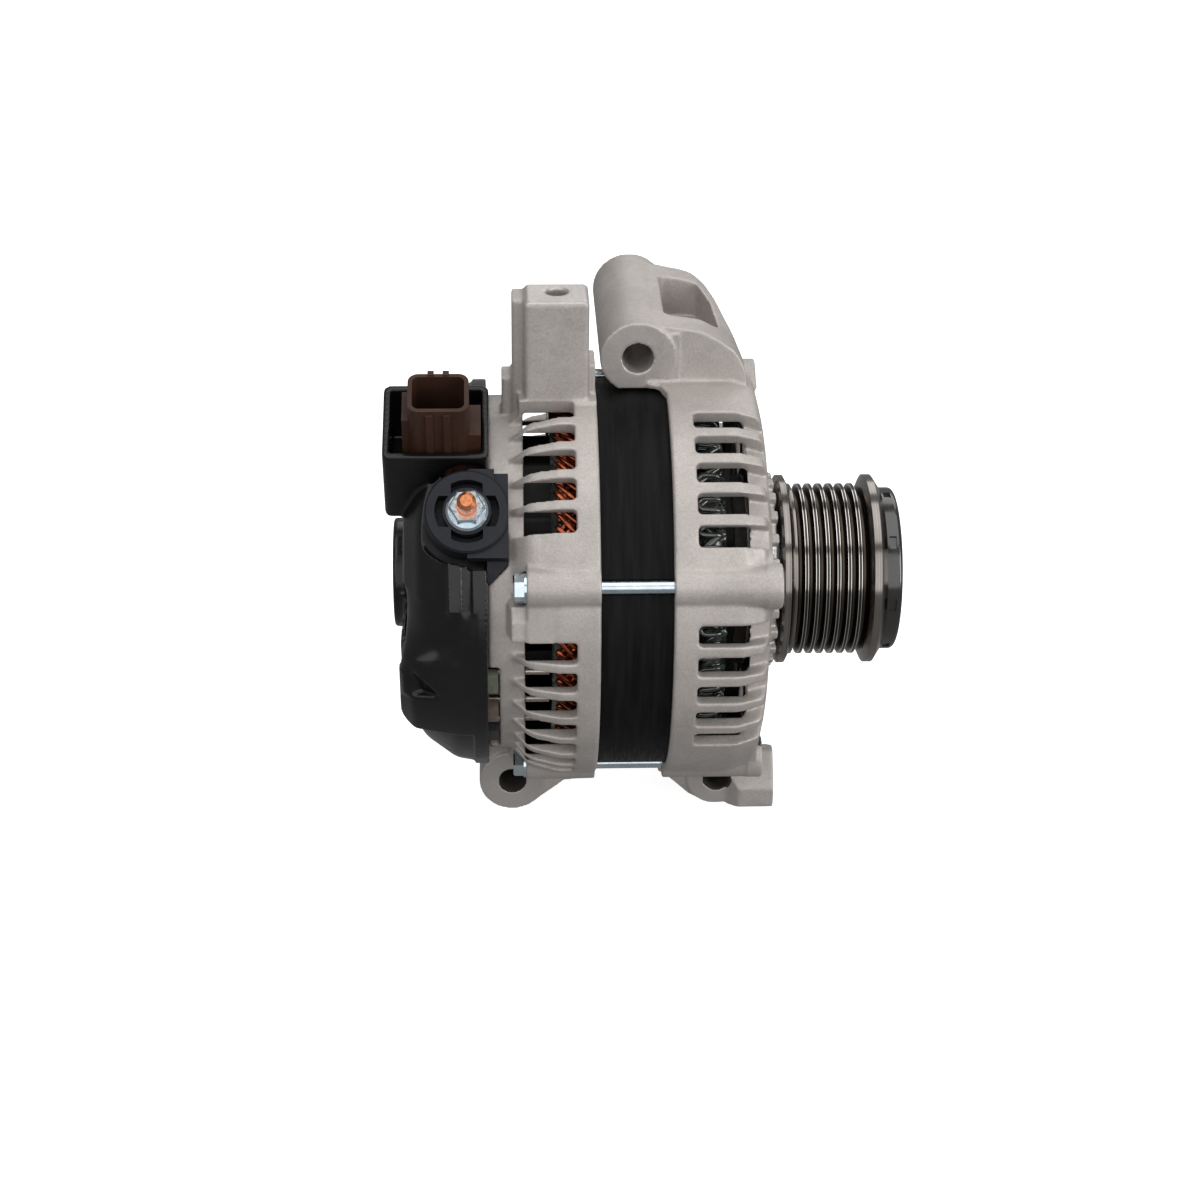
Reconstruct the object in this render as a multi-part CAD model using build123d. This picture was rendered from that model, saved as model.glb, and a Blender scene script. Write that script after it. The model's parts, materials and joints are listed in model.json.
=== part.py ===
"""Car alternator with two cast brackets, an overrunning ribbed pulley and a plastic rear cover.

Millimetres. X runs along the shaft towards the pulley, Z is up, and Y runs away from the side
that carries the output stud. The stored origin is on the shaft axis, in the middle of the belt.
Inside this file X is counted from the middle of the stator, and save() shifts every piece.
Angles around the shaft start at -Y and rise towards +Z, so 90 degrees is the top.
"""
from build123d import *
from math import cos, radians, sin, sqrt
import os

# Overall places along the shaft
belt_offset = 66.9          # stator middle to belt middle
stator_length = 34.0
stator_gap = 23.0           # black band left bare between the brackets
drive_face = 43.6           # front face of the drive end bracket, round its air intakes
rear_face = -47.2           # rear face of the slip ring end bracket
drive_hub_face = 48.2       # end of the bearing hub behind the pulley
fit_gap = 0.05              # radial play of a running or sliding fit

# Bracket castings
bracket_radius = 68.5
bracket_bore = bracket_radius - 4.5
register_play = 0.05
wall = 4.3
band_rise = 1.2             # the bare stator band lies this much under the castings' rims
drive_shoulder = 8.5        # radial drop from the drive end band to its face
drive_face_radius = bracket_radius - drive_shoulder
drive_shoulder_start = 33.0
drive_shoulder_end = 41.0
drive_cone_end = 46.0       # where the coned face meets the bearing hub
drive_hub_radius = 30.4
drive_vents = (19.3, 34.5)
drive_vent_run_out = drive_face + 1.0
drive_vent_width = 6.9
drive_vent_offsets = [13.5, 22.5, 31.5, 40.5, 49.5, 58.5, 67.5, 76.5]
drive_vents_blocked = [(74.0, 137.0), (253.0, 330.0)]
rear_vents = (-35.4, -19.0)
rear_vent_run_out = -42.0
rear_vent_width = 7.3
rear_vent_offsets = [18.0, 27.0, 36.0, 45.0, 54.0, 63.0, 72.0]
rear_vents_blocked = [(80.0, 100.0), (251.0, 293.0)]
rear_shoulder = 8.8         # radial drop from the slip ring end band to its hub
rear_hub_radius = bracket_radius - rear_shoulder
rear_shoulder_start = -24.0
rear_shoulder_end = -39.8
intake_inner = 36.0
intake_outer = drive_face_radius - 8.0
bump_half = 6.0             # raised pads beside the bolt heads
bump_draft = 1.9            # how much wider each side of a pad is at its root
bump_turn = -10.3
nub_count = 24              # small ribs round the bearing hub, behind the pulley
nub_half = 1.7
nub_radius = 33.0

# Stator
stator_radius = bracket_radius - 3.2
stator_bore = stator_radius - 16.1
slot_count = 48
slot_width = 3.5
slot_floor = stator_radius - 4.2    # radius of the bottom of a winding slot
slot_mouth = 1.7
tooth_tip = 1.8             # depth of the tooth lips under a slot
liner_wall = 0.35
liner_reach = 1.4           # how far the slot liners stand out of the core
coil_reach = 27.6           # how far the coil ends stand out from the middle
coil_inner = stator_bore + 2.4
coil_outer = stator_radius - 2.9

# Through bolts
bolt_circle = bracket_radius - 2.5
bolt_angles = [22.5, 112.5, 202.5, 292.5]
bolt_radius = 2.2
bolt_thread_reach = 34.0
bolt_head_across = 8.0
bolt_head_height = 4.3
bolt_seat = -34.9
boss_radius = 6.4
boss_drop = 1.0             # boss centre lies this much inside the bolt circle
drive_boss_end = 43.3
drive_boss_nub = (7.2, 2.4)     # radius and length of the round end of a boss
plain_boss = 1              # which bolt's boss has no round end, beside the web

# Mounting features
upper_boss = (2.4, bracket_radius + 8.5)    # X and Z of the bore
upper_boss_radius = 12.4
upper_boss_ends = (1.0, 66.0)
boss_step = 0.45            # how far the pad stands out of the web, and the boss out of the pad
mount_bore_radius = 5.1
bore_chamfer = 0.7
lug_height = -bracket_radius - 9.2
lug_radius = 11.5
drive_lug_radius = 10.3
lug_bore_radius = 4.6
lug_ends = (-10.0, 30.0)
lug_proud = 0.8             # machined lug faces stand out from their arms
rear_lug_x = -39.5
drive_lug_x = 32.1
foot_x = (35.7, 52.2)
foot_reach = 3.6            # the foot's near face lies this much nearer than the lugs
foot_floor = lug_height - 10.3
foot_step = 7.9
foot_rise = 20.5
foot_length = 25.6
post_x = (-34.8, -14.0)
post_y = (-12.4, 5.3)
post_top = bracket_radius + 33.2
post_hole = (-24.3, -2.0)
post_hole_radius = 3.4
post_hole_depth = 24.0

# Bearings: bore radius, outer radius, width, ball radius, ball count
front_bearing = (8.5, 23.5, 14.0, 4.2, 8)
rear_bearing = (7.5, 17.5, 11.0, 3.0, 9)
front_bearing_x = 33.5      # inner side of the front bearing
rear_bearing_x = -46.2      # outer side of the rear bearing
race_play = 0.05
seal_thickness = 0.8
retainer_thickness = 2.0
retainer_radius = 31.0
retainer_screw_circle = 27.5
retainer_screw_radius = 1.6
retainer_screw_angles = [45, 135, 225, 315]

# Rotor
rotor_radius = stator_bore - 0.35
pole_pairs = 8
pole_half_length = 18.0
pole_disc = 9.5
pole_inner = rotor_radius - 8.35    # underside of the claws at their tips
core_radius = 26.0
shaft_core_radius = 11.0
shaft_front_end = 80.0
shaft_rear_end = -73.6
bobbin_wall = 1.2
fan_thickness = 1.3
fan_radius = rotor_radius - 2.35
fan_blade_root = 32.2
fan_blade_sweep = 48.0      # angle that a blade runs through from root to tip
fan_blade_heights = (13.0, 16.4)    # front and rear
fan_blades = 13
slip_ring_radius = 7.2
slip_ring_width = 7.0
slip_ring_places = [-56.5, -66.5]
slip_hub_radius = 5.6

# Pulley
rib_pitch = 3.56
groove_count = 7
crest_radius = 29.0
groove_depth = 2.9
groove_half_mouth = 1.2
groove_half_floor = 0.35
flange_radius = crest_radius + 3.0
pulley_back = 49.9
pulley_front = 85.05
pulley_bore = 19.0
clutch_inner = 12.6
roller_radius = 2.6
roller_count = 14
roller_reach = (58.0, 76.0)
cap_radius = crest_radius - 1.5
cap_front = 90.2
cap_clips = 8

# Rear cover and what it houses
cover_radius = bracket_radius - 3.5
cover_start = -47.4
cover_wall = 2.2
cover_rim = 4.6             # width of the flange at the open end
cover_back = -74.4
cover_block_back = -75.9
cover_block_z = (-31.0, 1.2)
cover_ridge = (-59.8, -55.6, 12.6, 30.0)    # X from and to, then angle from and to
scoop_apex = (-68.5, 15.9 - cover_radius, -13.8)
scoop_corners = [(-72.6, 7.0 - cover_radius, -15.3), (-62.4, 3.5 - cover_radius, -13.8),
                 (-74.1, 7.1 - cover_radius, -3.2)]
scoop_backing = (1.1, 7.0, -1.4)    # puts a wall's thickness behind every side of the scoop
cover_hub_radius = 18.4
cover_hub_back = -78.8
cover_stud_circle = 43.0
cover_stud_angles = [172.5, 262.5, 352.5]
cover_stud_radius = 1.7
cover_nut_across = 7.0
cover_nut_height = 3.6
nut_well_radius = cover_nut_across * 0.93
plug_angle = 68.0           # direction of the plug around the shaft
plug_box_x = (-80.2, -46.4)
plug_box_y = (-11.6, 20.6)
plug_box_rim = cover_radius + 3.6
plug_box_low = plug_box_rim - 27.9
plug_x = (-71.7, -52.5)
plug_y = (-8.0, 8.7)
plug_mouth = plug_box_rim + 16.9
plug_foot = plug_box_rim - 21.6
plug_wall = 1.4
plug_pins = 4
plug_latch = 3.6
regulator_top = plug_foot - cover_wall - 0.2
output_angle = 40.0         # direction of the output stud
output_shift = 4.4          # its axis passes this far above the shaft axis
output_x = -53.4
output_thread_radius = 3.3  # rolled thread that carries the nut
output_radius = 3.0         # plain end that takes a cable eye
insulator_radius = 13.4
insulator_top = cover_radius + 1.5
insulator_seat = rear_hub_radius - 4.3
insulator_pocket = 16.7
terminal_recess = 2.6
output_nut_flange = 6.7
output_nut_across = 10.0
output_nut_height = 6.4
output_tip = insulator_top + output_nut_height + 7.3
output_end_chamfer = 1.1
output_root = insulator_seat - 11.4

# Rectifier, regulator and brush gear
sink_radii = (26.0, cover_radius - 8.0)
sink_sector = (118.0, 408.0)
negative_sink_x = (-50.0, rear_face)
board_x = (-53.3, -50.1)
positive_sink_x = (-57.4, -53.4)
diode_radius = 6.4
diode_circle = 40.0
diode_angles = [150.0, 195.0, 240.0, 285.0, 330.0, 375.0]
lead_circle = sink_radii[1] - 3.0
lead_angles = [324.0, 337.0, 350.5]
regulator_size = (18.0, 23.0, 7.8)
regulator_screw_x = 6.0
brush_size = (4.6, 6.4, 15.0)
brush_play = 0.06
brush_gap = 0.06            # brush face to slip ring
brush_box_y = 12.0
brush_box_top = 33.6
spring_wire = 0.3
spring_radius = 1.7
spring_turns = 6


# ---------------------------------------------------------------- building blocks

def flat(points, radii=None):
    """Face inside a closed outline, with its corners rounded where radii are given."""
    if radii is None:
        return make_face(Polyline(*points, close=True))
    return make_face(FilletPolyline(*points, radius=radii, close=True))


def turned(points, radii=None):
    """Solid turned about the shaft axis from (x, radius) points."""
    return revolve(flat(points, radii), Axis.X)


def ring(outer, inner, x0, x1):
    return turned([(x0, inner), (x0, outer), (x1, outer), (x1, inner)])


def rod_x(radius, x0, x1, y=0.0, z=0.0):
    return Pos((x0 + x1) / 2, y, z) * Rot(0, 90, 0) * Cylinder(radius, x1 - x0)


def rod_y(radius, y0, y1, x, z):
    return Pos(x, (y0 + y1) / 2, z) * Rot(90, 0, 0) * Cylinder(radius, y1 - y0)


def rod_z(radius, z0, z1, x, y):
    return Pos(x, y, (z0 + z1) / 2) * Cylinder(radius, z1 - z0)


def block(x0, x1, y0, y1, z0, z1):
    middle = Pos((x0 + x1) / 2, (y0 + y1) / 2, (z0 + z1) / 2)
    return middle * Box(x1 - x0, y1 - y0, z1 - z0)


def prism_x(face, x0, x1):
    """Extrude a (y, z) face along the shaft."""
    return extrude(Plane.YZ.offset(x0) * face, x1 - x0)


def prism_y(face, y0, y1):
    """Extrude an (x, z) face across the shaft."""
    return extrude(Plane.XZ.offset(-y1) * face, y1 - y0)


def prism_z(face, z0, z1):
    return extrude(Pos(0, 0, z0) * face, z1 - z0)


def around(shape, angle):
    """Carry a shape made at the top of the shaft round to an angle."""
    return Rot(90 - angle, 0, 0) * shape


def joined(shapes):
    return Part() + list(shapes)


def hexagon_x(across, x0, x1, z):
    return prism_x(Pos(0, z) * RegularPolygon(across / sqrt(3), 6), x0, x1)


def hexagon_z(across, z0, z1, x, y=0.0):
    return prism_z(Pos(x, y) * RegularPolygon(across / sqrt(3), 6), z0, z1)


def sector(inner, outer, start, stop, x0, x1):
    """Part of a ring between two angles around the shaft."""
    steps = 12
    reach = outer / cos(radians((stop - start) / steps / 2)) + 1.0
    turns = [radians(start + (stop - start) * i / steps) for i in range(steps + 1)]
    wedge = [(0.0, 0.0)] + [(-reach * cos(t), reach * sin(t)) for t in turns]
    return ring(outer, inner, x0, x1) & prism_x(flat(wedge), x0, x1)


def save(name, shape):
    export_step(Pos(-belt_offset, 0, 0) * shape, f"parts/{name}.step")


# ---------------------------------------------------------------- brackets

def vents(angles, width, window, run_out, floor, last_floor):
    """Cutters for a row of vents: a window through the wall and a groove over the shoulder."""
    near, far = sorted(window, key=abs)
    side = 1 if far > 0 else -1
    profile = [
        (near, floor - 9.0),
        (far, floor - 9.0),
        (far, floor),
        (run_out, last_floor),
        (run_out, floor + 20.0),
        (near, floor + 20.0),
    ]
    slab = prism_y(flat(profile), -width / 2, width / 2)
    mouth = block(*sorted([near, near + side * 30.0]), -width / 2, width / 2, 0, floor + 20.0)
    corner = 1.2
    rounded = fillet(mouth.edges().filter_by(Axis.Z), corner)
    return [around(slab & rounded, angle) for angle in angles]


def vent_angles(offsets, blocked):
    """Vent directions in every quarter, less those that a mounting feature covers."""
    found = [bolt + offset for bolt in bolt_angles for offset in offsets]
    return [a for a in found if not any(low < a % 360 < high for low, high in blocked)]


def bolt_boss(x0, x1):
    """Thickening of the wall around one through bolt, at the top of the shaft."""
    centre = bolt_circle - boss_drop
    post = rod_x(boss_radius, x0, x1, 0, centre)
    base = [(-boss_radius - 5.0, bracket_bore - 3.0), (-boss_radius, centre + 1.0)]
    base += [(-y, z) for y, z in reversed(base)]
    return post + prism_x(flat(base), x0, x1)


def mount_hole(radius, x, z, y0, y1):
    """Cutter for a cross bore with a chamfer at each mouth."""
    hole = rod_y(radius, y0 - 1, y1 + 1, x, z)
    cone = Rot(90, 0, 0) * Cone(radius + bore_chamfer, radius, bore_chamfer)
    near = Pos(x, y0 + bore_chamfer / 2, z) * cone
    far = Pos(x, y1 - bore_chamfer / 2, z) * Rot(180, 0, 0) * cone
    return hole + near + far


def drive_cavity():
    """Everything inside the drive end bracket that the casting leaves free."""
    bearing_end = front_bearing_x + front_bearing[2]
    points = [
        (stator_gap / 2 - 30.0, 0.0),
        (stator_gap / 2 - 30.0, stator_radius + register_play),
        (stator_length / 2, stator_radius + register_play),
        (stator_length / 2, bracket_bore),
        (drive_vents[1], bracket_bore),
        (drive_face - wall, drive_face_radius - wall),
        (drive_face - wall, retainer_radius + 1.0),
        (front_bearing_x, retainer_radius + 1.0),
        (front_bearing_x, front_bearing[1]),
        (bearing_end, front_bearing[1]),
        (bearing_end, front_bearing[1] - 3.0),
        (drive_hub_face + 1.0, front_bearing[1] - 3.0),
        (drive_hub_face + 1.0, 0.0),
    ]
    return turned(points)


def drive_end_bracket():
    start = stator_gap / 2
    points = [
        (start, 20.0),
        (start, bracket_radius),
        (drive_shoulder_start, bracket_radius),
        (drive_shoulder_end, bracket_radius - drive_shoulder * 0.34),
        (drive_face - 0.6, drive_face_radius - 2.5),
        (drive_face, drive_face_radius - 10.0),
        (drive_cone_end, drive_hub_radius + 4.0),
        (drive_cone_end, drive_hub_radius),
        (drive_hub_face, drive_hub_radius),
        (drive_hub_face, 20.0),
    ]
    casting = turned(points, [0, 1.0, 9.0, 3.5, 3.0, 3.0, 0, 0, 0.8, 0])
    nub = block(drive_cone_end - 1.0, drive_hub_face + 0.5, -nub_half, nub_half,
                drive_hub_radius - 1.0, nub_radius)
    nubs = [around(nub, 360.0 * i / nub_count) for i in range(nub_count)]
    nub_start = drive_boss_end - 3.0
    boss_nub = rod_x(drive_boss_nub[0], nub_start, drive_boss_end + drive_boss_nub[1], 0,
                     bolt_circle - boss_drop - 0.6)
    bosses = [around(bolt_boss(start, drive_boss_end), a) for a in bolt_angles]
    bosses += [around(boss_nub, a) for i, a in enumerate(bolt_angles) if i != plain_boss]

    bx, bz = upper_boss
    y0, y1 = upper_boss_ends
    boss = rod_y(upper_boss_radius, y0, y1, bx, bz)
    top = bz + upper_boss_radius
    saddle = [
        (bx, top - 0.6),
        (bx + 10.0, top - 1.8),
        (bx + 21.0, top - 3.5),
        (bx + 27.3, top - 7.1),
        (bx + 32.4, top - 10.8),
        (bx + 35.6, top - 17.4),
        (bx + 36.6, top - 25.4),
        (bx + 36.6, 20.0),
        (start, 20.0),
        (start, bz - 14.0),
    ]
    web = prism_y(flat(saddle, [0, 8.0, 12.0, 12.0, 10.0, 8.0, 8.0, 0, 0, 3.0]),
                  y0 + 2 * boss_step, y1)
    plan = [(bx, y0), (bx, y1 - 4.5), (bx + 5.6, y1 - 5.0), (bx + 11.0, y1 - 6.2),
            (bx + 17.5, y1 - 7.2), (bx + 21.8, y1 - 9.3), (bx + 25.4, y1 - 13.7),
            (bx + 28.3, y1 - 23.7), (bx + 31.0, y1 - 39.0), (bx + 33.9, y1 - 51.5),
            (bx + 39.1, y0 + 7.0), (bx + 39.1, y0)]
    web &= prism_z(flat(plan, [0, 0, 3.0, 6.0, 6.0, 6.0, 8.0, 12.0, 12.0, 6.0, 2.0, 0]),
                   0.0, top + 1)
    web += block(bx, bx + 13.5, y0 + boss_step, y0 + 3.0, bz - 11.8, bz + 8.4)
    gusset = block(bx, start + 1, y0 + 2 * boss_step, y0 + 11.0, bracket_radius - 8.5, bz)
    corner = [(start - 6.5, y0), (start, y0), (start, y0 - 6.5), (start - 1.9, y0 - 1.9)]
    corner = prism_z(flat(corner), bz - 14.0, bz) & rod_x(bracket_radius, start - 9, start + 1)
    hollow_plan = [(start - 1, y0 + 11.0), (bx + 28.0, y0 + 11.0), (bx + 25.0, y0 + 25.0),
                   (bx + 22.0, y0 + 40.0), (bx + 18.6, y0 + 48.6), (start - 1, y0 + 50.0)]
    hollow = prism_z(flat(hollow_plan), 0.0, bz - upper_boss_radius)
    hollow -= rod_x(bracket_radius, start - 2, drive_face)
    pocket_plan = [(bx + 9.0, y0 + 12.5), (bx + 27.3, y0 + 12.6), (bx + 25.9, y0 + 35.0),
                   (bx + 22.4, y0 + 47.4), (bx + 9.2, y0 + 48.4)]
    pocket = prism_z(flat(pocket_plan, [2.5, 3.0, 8.0, 3.0, 2.5]), bz - 4.0, bz + 30.0)
    arm = [
        (start, -50.0),
        (start, lug_height + 2.6),
        (drive_lug_x - 18.4, lug_height + 1.8),
        (drive_lug_x - 9.6, lug_height - 6.7),
        (drive_lug_x - 3.0, lug_height - drive_lug_radius + 0.6),
        (drive_lug_x + 8.0, lug_height - 5.0),
        (drive_face - 3.0, foot_floor + 28.0),
        (drive_face - 3.0, -50.0),
    ]
    near = lug_ends[0]
    top_of_foot = foot_floor + foot_rise
    side = [
        (near - foot_reach, foot_floor),
        (near - foot_reach, foot_floor + foot_step),
        (near + 1.9, top_of_foot - 4.6),
        (near + 5.5, top_of_foot),
        (near - foot_reach + foot_length, top_of_foot - 9.6),
        (near - foot_reach + foot_length, foot_floor),
    ]
    foot = prism_x(flat(side, [1.4, 2.4, 3.0, 3.0, 2.5, 1.4]), *foot_x)
    foot = foot - foot_bevel(near - foot_reach)
    core_side = [(near + 5.0, -50.0), (near + 5.0, top_of_foot - 2.0),
                 (near + foot_length - 6.0, top_of_foot - 9.0), (near + foot_length - 6.0, -50.0)]
    foot_core = prism_x(flat(core_side), foot_x[0], drive_face - 1.5)

    relief = [(start - 30.0, 0.0), (start - 30.0, stator_radius + band_rise),
              (start, stator_radius + band_rise), (start, 0.0)]
    casting += [*nubs, *bosses, boss, web, gusset, corner]
    casting += [prism_y(flat(arm), lug_ends[0] + lug_proud, lug_ends[1] - lug_proud)]
    casting += [rod_y(drive_lug_radius, *lug_ends, drive_lug_x, lug_height), foot, foot_core]
    casting -= [drive_cavity(), pocket, hollow, turned(relief, [0, 0, 3.5, 0])]
    casting -= mount_hole(mount_bore_radius, bx, bz, y0, y1)
    casting -= mount_hole(lug_bore_radius, drive_lug_x, lug_height, *lug_ends)
    casting -= [around(rod_x(bolt_radius, start - 1, bolt_thread_reach + 2, 0, bolt_circle), a)
                for a in bolt_angles]
    casting -= vents(vent_angles(drive_vent_offsets, drive_vents_blocked), drive_vent_width,
                     drive_vents, drive_vent_run_out, drive_face_radius + 2.5,
                     drive_face_radius - 2.0)
    intakes = [sector(intake_inner, intake_outer, a - 10.0, a + 10.0,
                      drive_face - wall - 1, drive_cone_end + 1.0) for a in range(15, 375, 30)]
    casting -= intakes
    casting -= [around(rod_x(retainer_screw_radius, front_bearing_x - 1, front_bearing_x + 9, 0,
                             retainer_screw_circle), a) for a in retainer_screw_angles]
    return casting


def foot_bevel(near):
    """Cutter for the slanted corner of the foot beside the drive end lug."""
    x0 = foot_x[0]
    plan = [(x0 - 1, near - 1), (x0 + 4.2, near - 1), (x0 + 4.2, near), (x0, near + 3.6),
            (x0 - 1, near + 3.6)]
    return prism_z(flat(plan), foot_floor - 1, foot_floor + foot_rise + 1)


def rear_cavity():
    bearing_end = rear_bearing_x + rear_bearing[2]
    points = [
        (-stator_gap / 2 + 30.0, 0.0),
        (-stator_gap / 2 + 30.0, stator_radius + register_play),
        (-stator_length / 2, stator_radius + register_play),
        (-stator_length / 2, bracket_bore),
        (rear_vents[0], bracket_bore),
        (rear_vents[0], rear_hub_radius - wall),
        (rear_face + wall, rear_hub_radius - wall),
        (rear_face + wall, rear_bearing[1] + 5.5),
        (bearing_end, rear_bearing[1] + 5.5),
        (bearing_end, rear_bearing[1]),
        (rear_bearing_x, rear_bearing[1]),
        (rear_bearing_x, rear_bearing[1] - 3.0),
        (rear_face - 1.0, rear_bearing[1] - 3.0),
        (rear_face - 1.0, 0.0),
    ]
    return turned(points)


def slip_ring_end_bracket():
    start = -stator_gap / 2
    points = [
        (start, 13.0),
        (start, bracket_radius),
        (rear_shoulder_start, bracket_radius),
        (rear_shoulder_start - 10.0, bracket_radius - rear_shoulder * 0.3),
        (rear_shoulder_end, rear_hub_radius),
        (rear_face, rear_hub_radius),
        (rear_face, 13.0),
    ]
    casting = turned(points, [0, 1.0, 12.0, 9.0, 2.0, 1.0, 0])
    bosses = [around(bolt_boss(bolt_seat, start), a) for a in bolt_angles]
    root, crown = rear_hub_radius - 4.0, bracket_radius - 1.2
    left, right = rear_shoulder_end, bolt_seat + 6.0
    lift = [(left - bump_draft, root), (left, crown), (right, crown), (right, root)]
    across = [(-bump_half - bump_draft, root), (-bump_half, crown), (bump_half, crown),
              (bump_half + bump_draft, root)]
    wide = bump_half + bump_draft
    shadow = [(left - bump_draft, -wide), (left - bump_draft, wide), (right, wide), (right, -wide)]
    bump = prism_y(flat(lift), -wide, wide) & prism_x(flat(across), left - bump_draft, right)
    bump &= prism_z(flat(shadow, [5.0, 5.0, 0, 0]), root, crown)
    bumps = [around(bump, a + bump_turn) for a in bolt_angles]
    seats = block(bolt_seat, start, -boss_radius, boss_radius + 1.0, rear_hub_radius - 3.0,
                  bracket_radius - 0.6)
    bosses += [around(seats, a + bump_turn) for a in bolt_angles]

    x0, x1 = post_x
    y0, y1 = post_y
    post = block(x0, x1, y0, y1, 55.0, post_top)
    post = fillet(post.edges().filter_by(Axis.Z), 1.5)
    post = chamfer(post.faces().sort_by(Axis.Z)[-1].edges(), 0.9)
    web = fillet(block(x0 - 4.0, x0 + 3, y0 + 6.5, y1, 55.0, post_top - 1.7)
                 .edges().filter_by(Axis.Z), 1.2)
    step = block(x0 - 7.4, x0 + 3, y0 + 8.0, y1, 55.0, bracket_radius + 4.5)
    rib = block(x1 - 3, start - 0.3, y0 + 5.0, y1, 55.0, bracket_radius + 10.0)
    pad = block(x0 - 2, start, y0 - 1.0, y1 + 1.0, 58.0, bracket_radius - 0.4)
    arm = [
        (start, -50.0),
        (start, lug_height),
        (rear_lug_x + 18.2, lug_height - 0.4),
        (rear_lug_x + 14.7, lug_height - 3.4),
        (rear_lug_x + 7.4, lug_height - 9.0),
        (rear_lug_x - lug_radius + 0.6, lug_height),
        (rear_face, -66.0),
        (rear_face, -50.0),
    ]
    casting += [*bosses, *bumps, post, web, step, rib, pad]
    casting += prism_y(flat(arm), lug_ends[0] + lug_proud, lug_ends[1] - lug_proud)
    casting += rod_y(lug_radius, *lug_ends, rear_lug_x, lug_height)
    casting -= [rear_cavity(), rod_x(stator_radius + band_rise, start, start + 30)]
    casting -= mount_hole(lug_bore_radius, rear_lug_x, lug_height, *lug_ends)
    hx, hy = post_hole
    casting -= rod_z(post_hole_radius, post_top - post_hole_depth, post_top + 1, hx, hy)
    casting -= Pos(hx, hy, post_top - 0.3) * Cone(post_hole_radius, post_hole_radius + 0.6, 0.6)
    for angle in bolt_angles:
        hole = rod_x(bolt_radius + 0.2, bolt_seat - 1, start + 1, 0, bolt_circle)
        recess = rod_x(bolt_head_across * 0.72, rear_face - 12, bolt_seat, 0, bolt_circle)
        beside = block(rear_face - 12, bolt_seat, -10.8, 0, bolt_circle + 0.1, bracket_radius + 20)
        casting -= [around(hole, angle), around(recess, angle), around(beside, angle)]
    casting -= vents(vent_angles(rear_vent_offsets, rear_vents_blocked), rear_vent_width,
                     rear_vents, rear_vent_run_out, rear_hub_radius, rear_hub_radius)
    casting -= sector(rear_hub_radius - wall - 1, rear_hub_radius + 1, 309.0, 356.0,
                      rear_face - 1, rear_face + 3.6)
    casting -= terminal_window(0.0, rear_hub_radius - terminal_recess, rear_hub_radius + 8.0)
    casting -= [sector(rear_bearing[1] + 9.0, diode_circle + diode_radius + 1.0, a - 14.0, a + 14.0,
                       rear_face - 1, rear_face + wall + 1) for a in range(15, 375, 45)]
    casting -= [around(rod_x(cover_stud_radius, rear_face - 1, rear_face + wall + 1, 0,
                             cover_stud_circle), a) for a in cover_stud_angles]
    casting -= [around(rod_x(2.0, rear_face - 1, rear_face + wall + 1, 0, lead_circle), a)
                for a in lead_angles]
    casting -= rod_x(cover_radius + 0.4, plug_box_x[0], cover_start + 0.2)
    return casting


def terminal_window(gap, low, high):
    """Slanted recess in the hub wall beside the output insulator, or its plug with a gap."""
    end = rear_shoulder_end - 0.8 - gap
    plan = [(rear_face - 1 + gap, -7.0 + gap), (rear_face + 0.8, -7.0 + gap), (end, -1.1 + gap),
            (end, 9.0 - gap), (rear_face - 1 + gap, 9.0 - gap)]
    return around(prism_z(flat(plan), low, high), bolt_angles[0] + 7.5)


# ---------------------------------------------------------------- stator and bolts

def stator_core():
    half = stator_length / 2
    core = ring(stator_radius, stator_bore, -half, half)
    bottom = stator_bore + tooth_tip
    slot = block(-half - 1, half + 1, -slot_width / 2, slot_width / 2, bottom, slot_floor)
    mouth = block(-half - 1, half + 1, -slot_mouth / 2, slot_mouth / 2, stator_bore - 2, bottom)
    turns = [360.0 * i / slot_count for i in range(slot_count)]
    core -= [around(slot + mouth, t) for t in turns]
    notch = rod_x(bolt_radius + 0.4, -half - 1, half + 1, 0, bolt_circle)
    return core - [around(notch, a) for a in bolt_angles]


def slot_liners():
    reach = stator_length / 2 + liner_reach
    low, high = stator_bore + tooth_tip, slot_floor
    skin = block(-reach, reach, -slot_width / 2, slot_width / 2, low, high)
    skin -= block(-reach - 1, reach + 1, liner_wall - slot_width / 2, slot_width / 2 - liner_wall,
                  low + liner_wall, high - liner_wall)
    return joined(around(skin, 360.0 * i / slot_count) for i in range(slot_count))


def stator_winding():
    half = slot_width / 2 - liner_wall
    low, high = stator_bore + tooth_tip + liner_wall, slot_floor - liner_wall
    start = stator_length / 2 + liner_reach
    crowns = [ring(coil_outer, coil_inner, start, coil_reach),
              ring(coil_outer, coil_inner, -coil_reach, -start)]
    bar = block(-start - 1, start + 1, -half, half, low, high)
    return joined(crowns + [around(bar, 360.0 * i / slot_count) for i in range(slot_count)])


def stator_leads():
    """Winding ends that pass behind the slip ring end wall to the terminal board."""
    return joined(around(rod_x(1.2, board_x[1], -coil_reach, 0, lead_circle), a)
                  for a in lead_angles)


def through_bolts():
    shank = rod_x(bolt_radius, bolt_seat, bolt_thread_reach, 0, bolt_circle)
    head = hexagon_x(bolt_head_across, bolt_seat - bolt_head_height, bolt_seat, bolt_circle)
    head = chamfer(head.faces().sort_by(Axis.X)[0].edges(), 0.5)
    washer = rod_x(bolt_head_across * 0.6, bolt_seat - 0.8, bolt_seat, 0, bolt_circle)
    return joined(around(shank + head + washer, a) for a in bolt_angles)


# ---------------------------------------------------------------- bearings

def bearing_middle(bearing):
    return (bearing[0] + bearing[1]) / 2


def race_cut(bearing, x):
    """The round groove that the balls run in."""
    circle = Pos(x, bearing_middle(bearing)) * Circle(bearing[3] + race_play)
    return revolve(circle, Axis.X)


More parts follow.
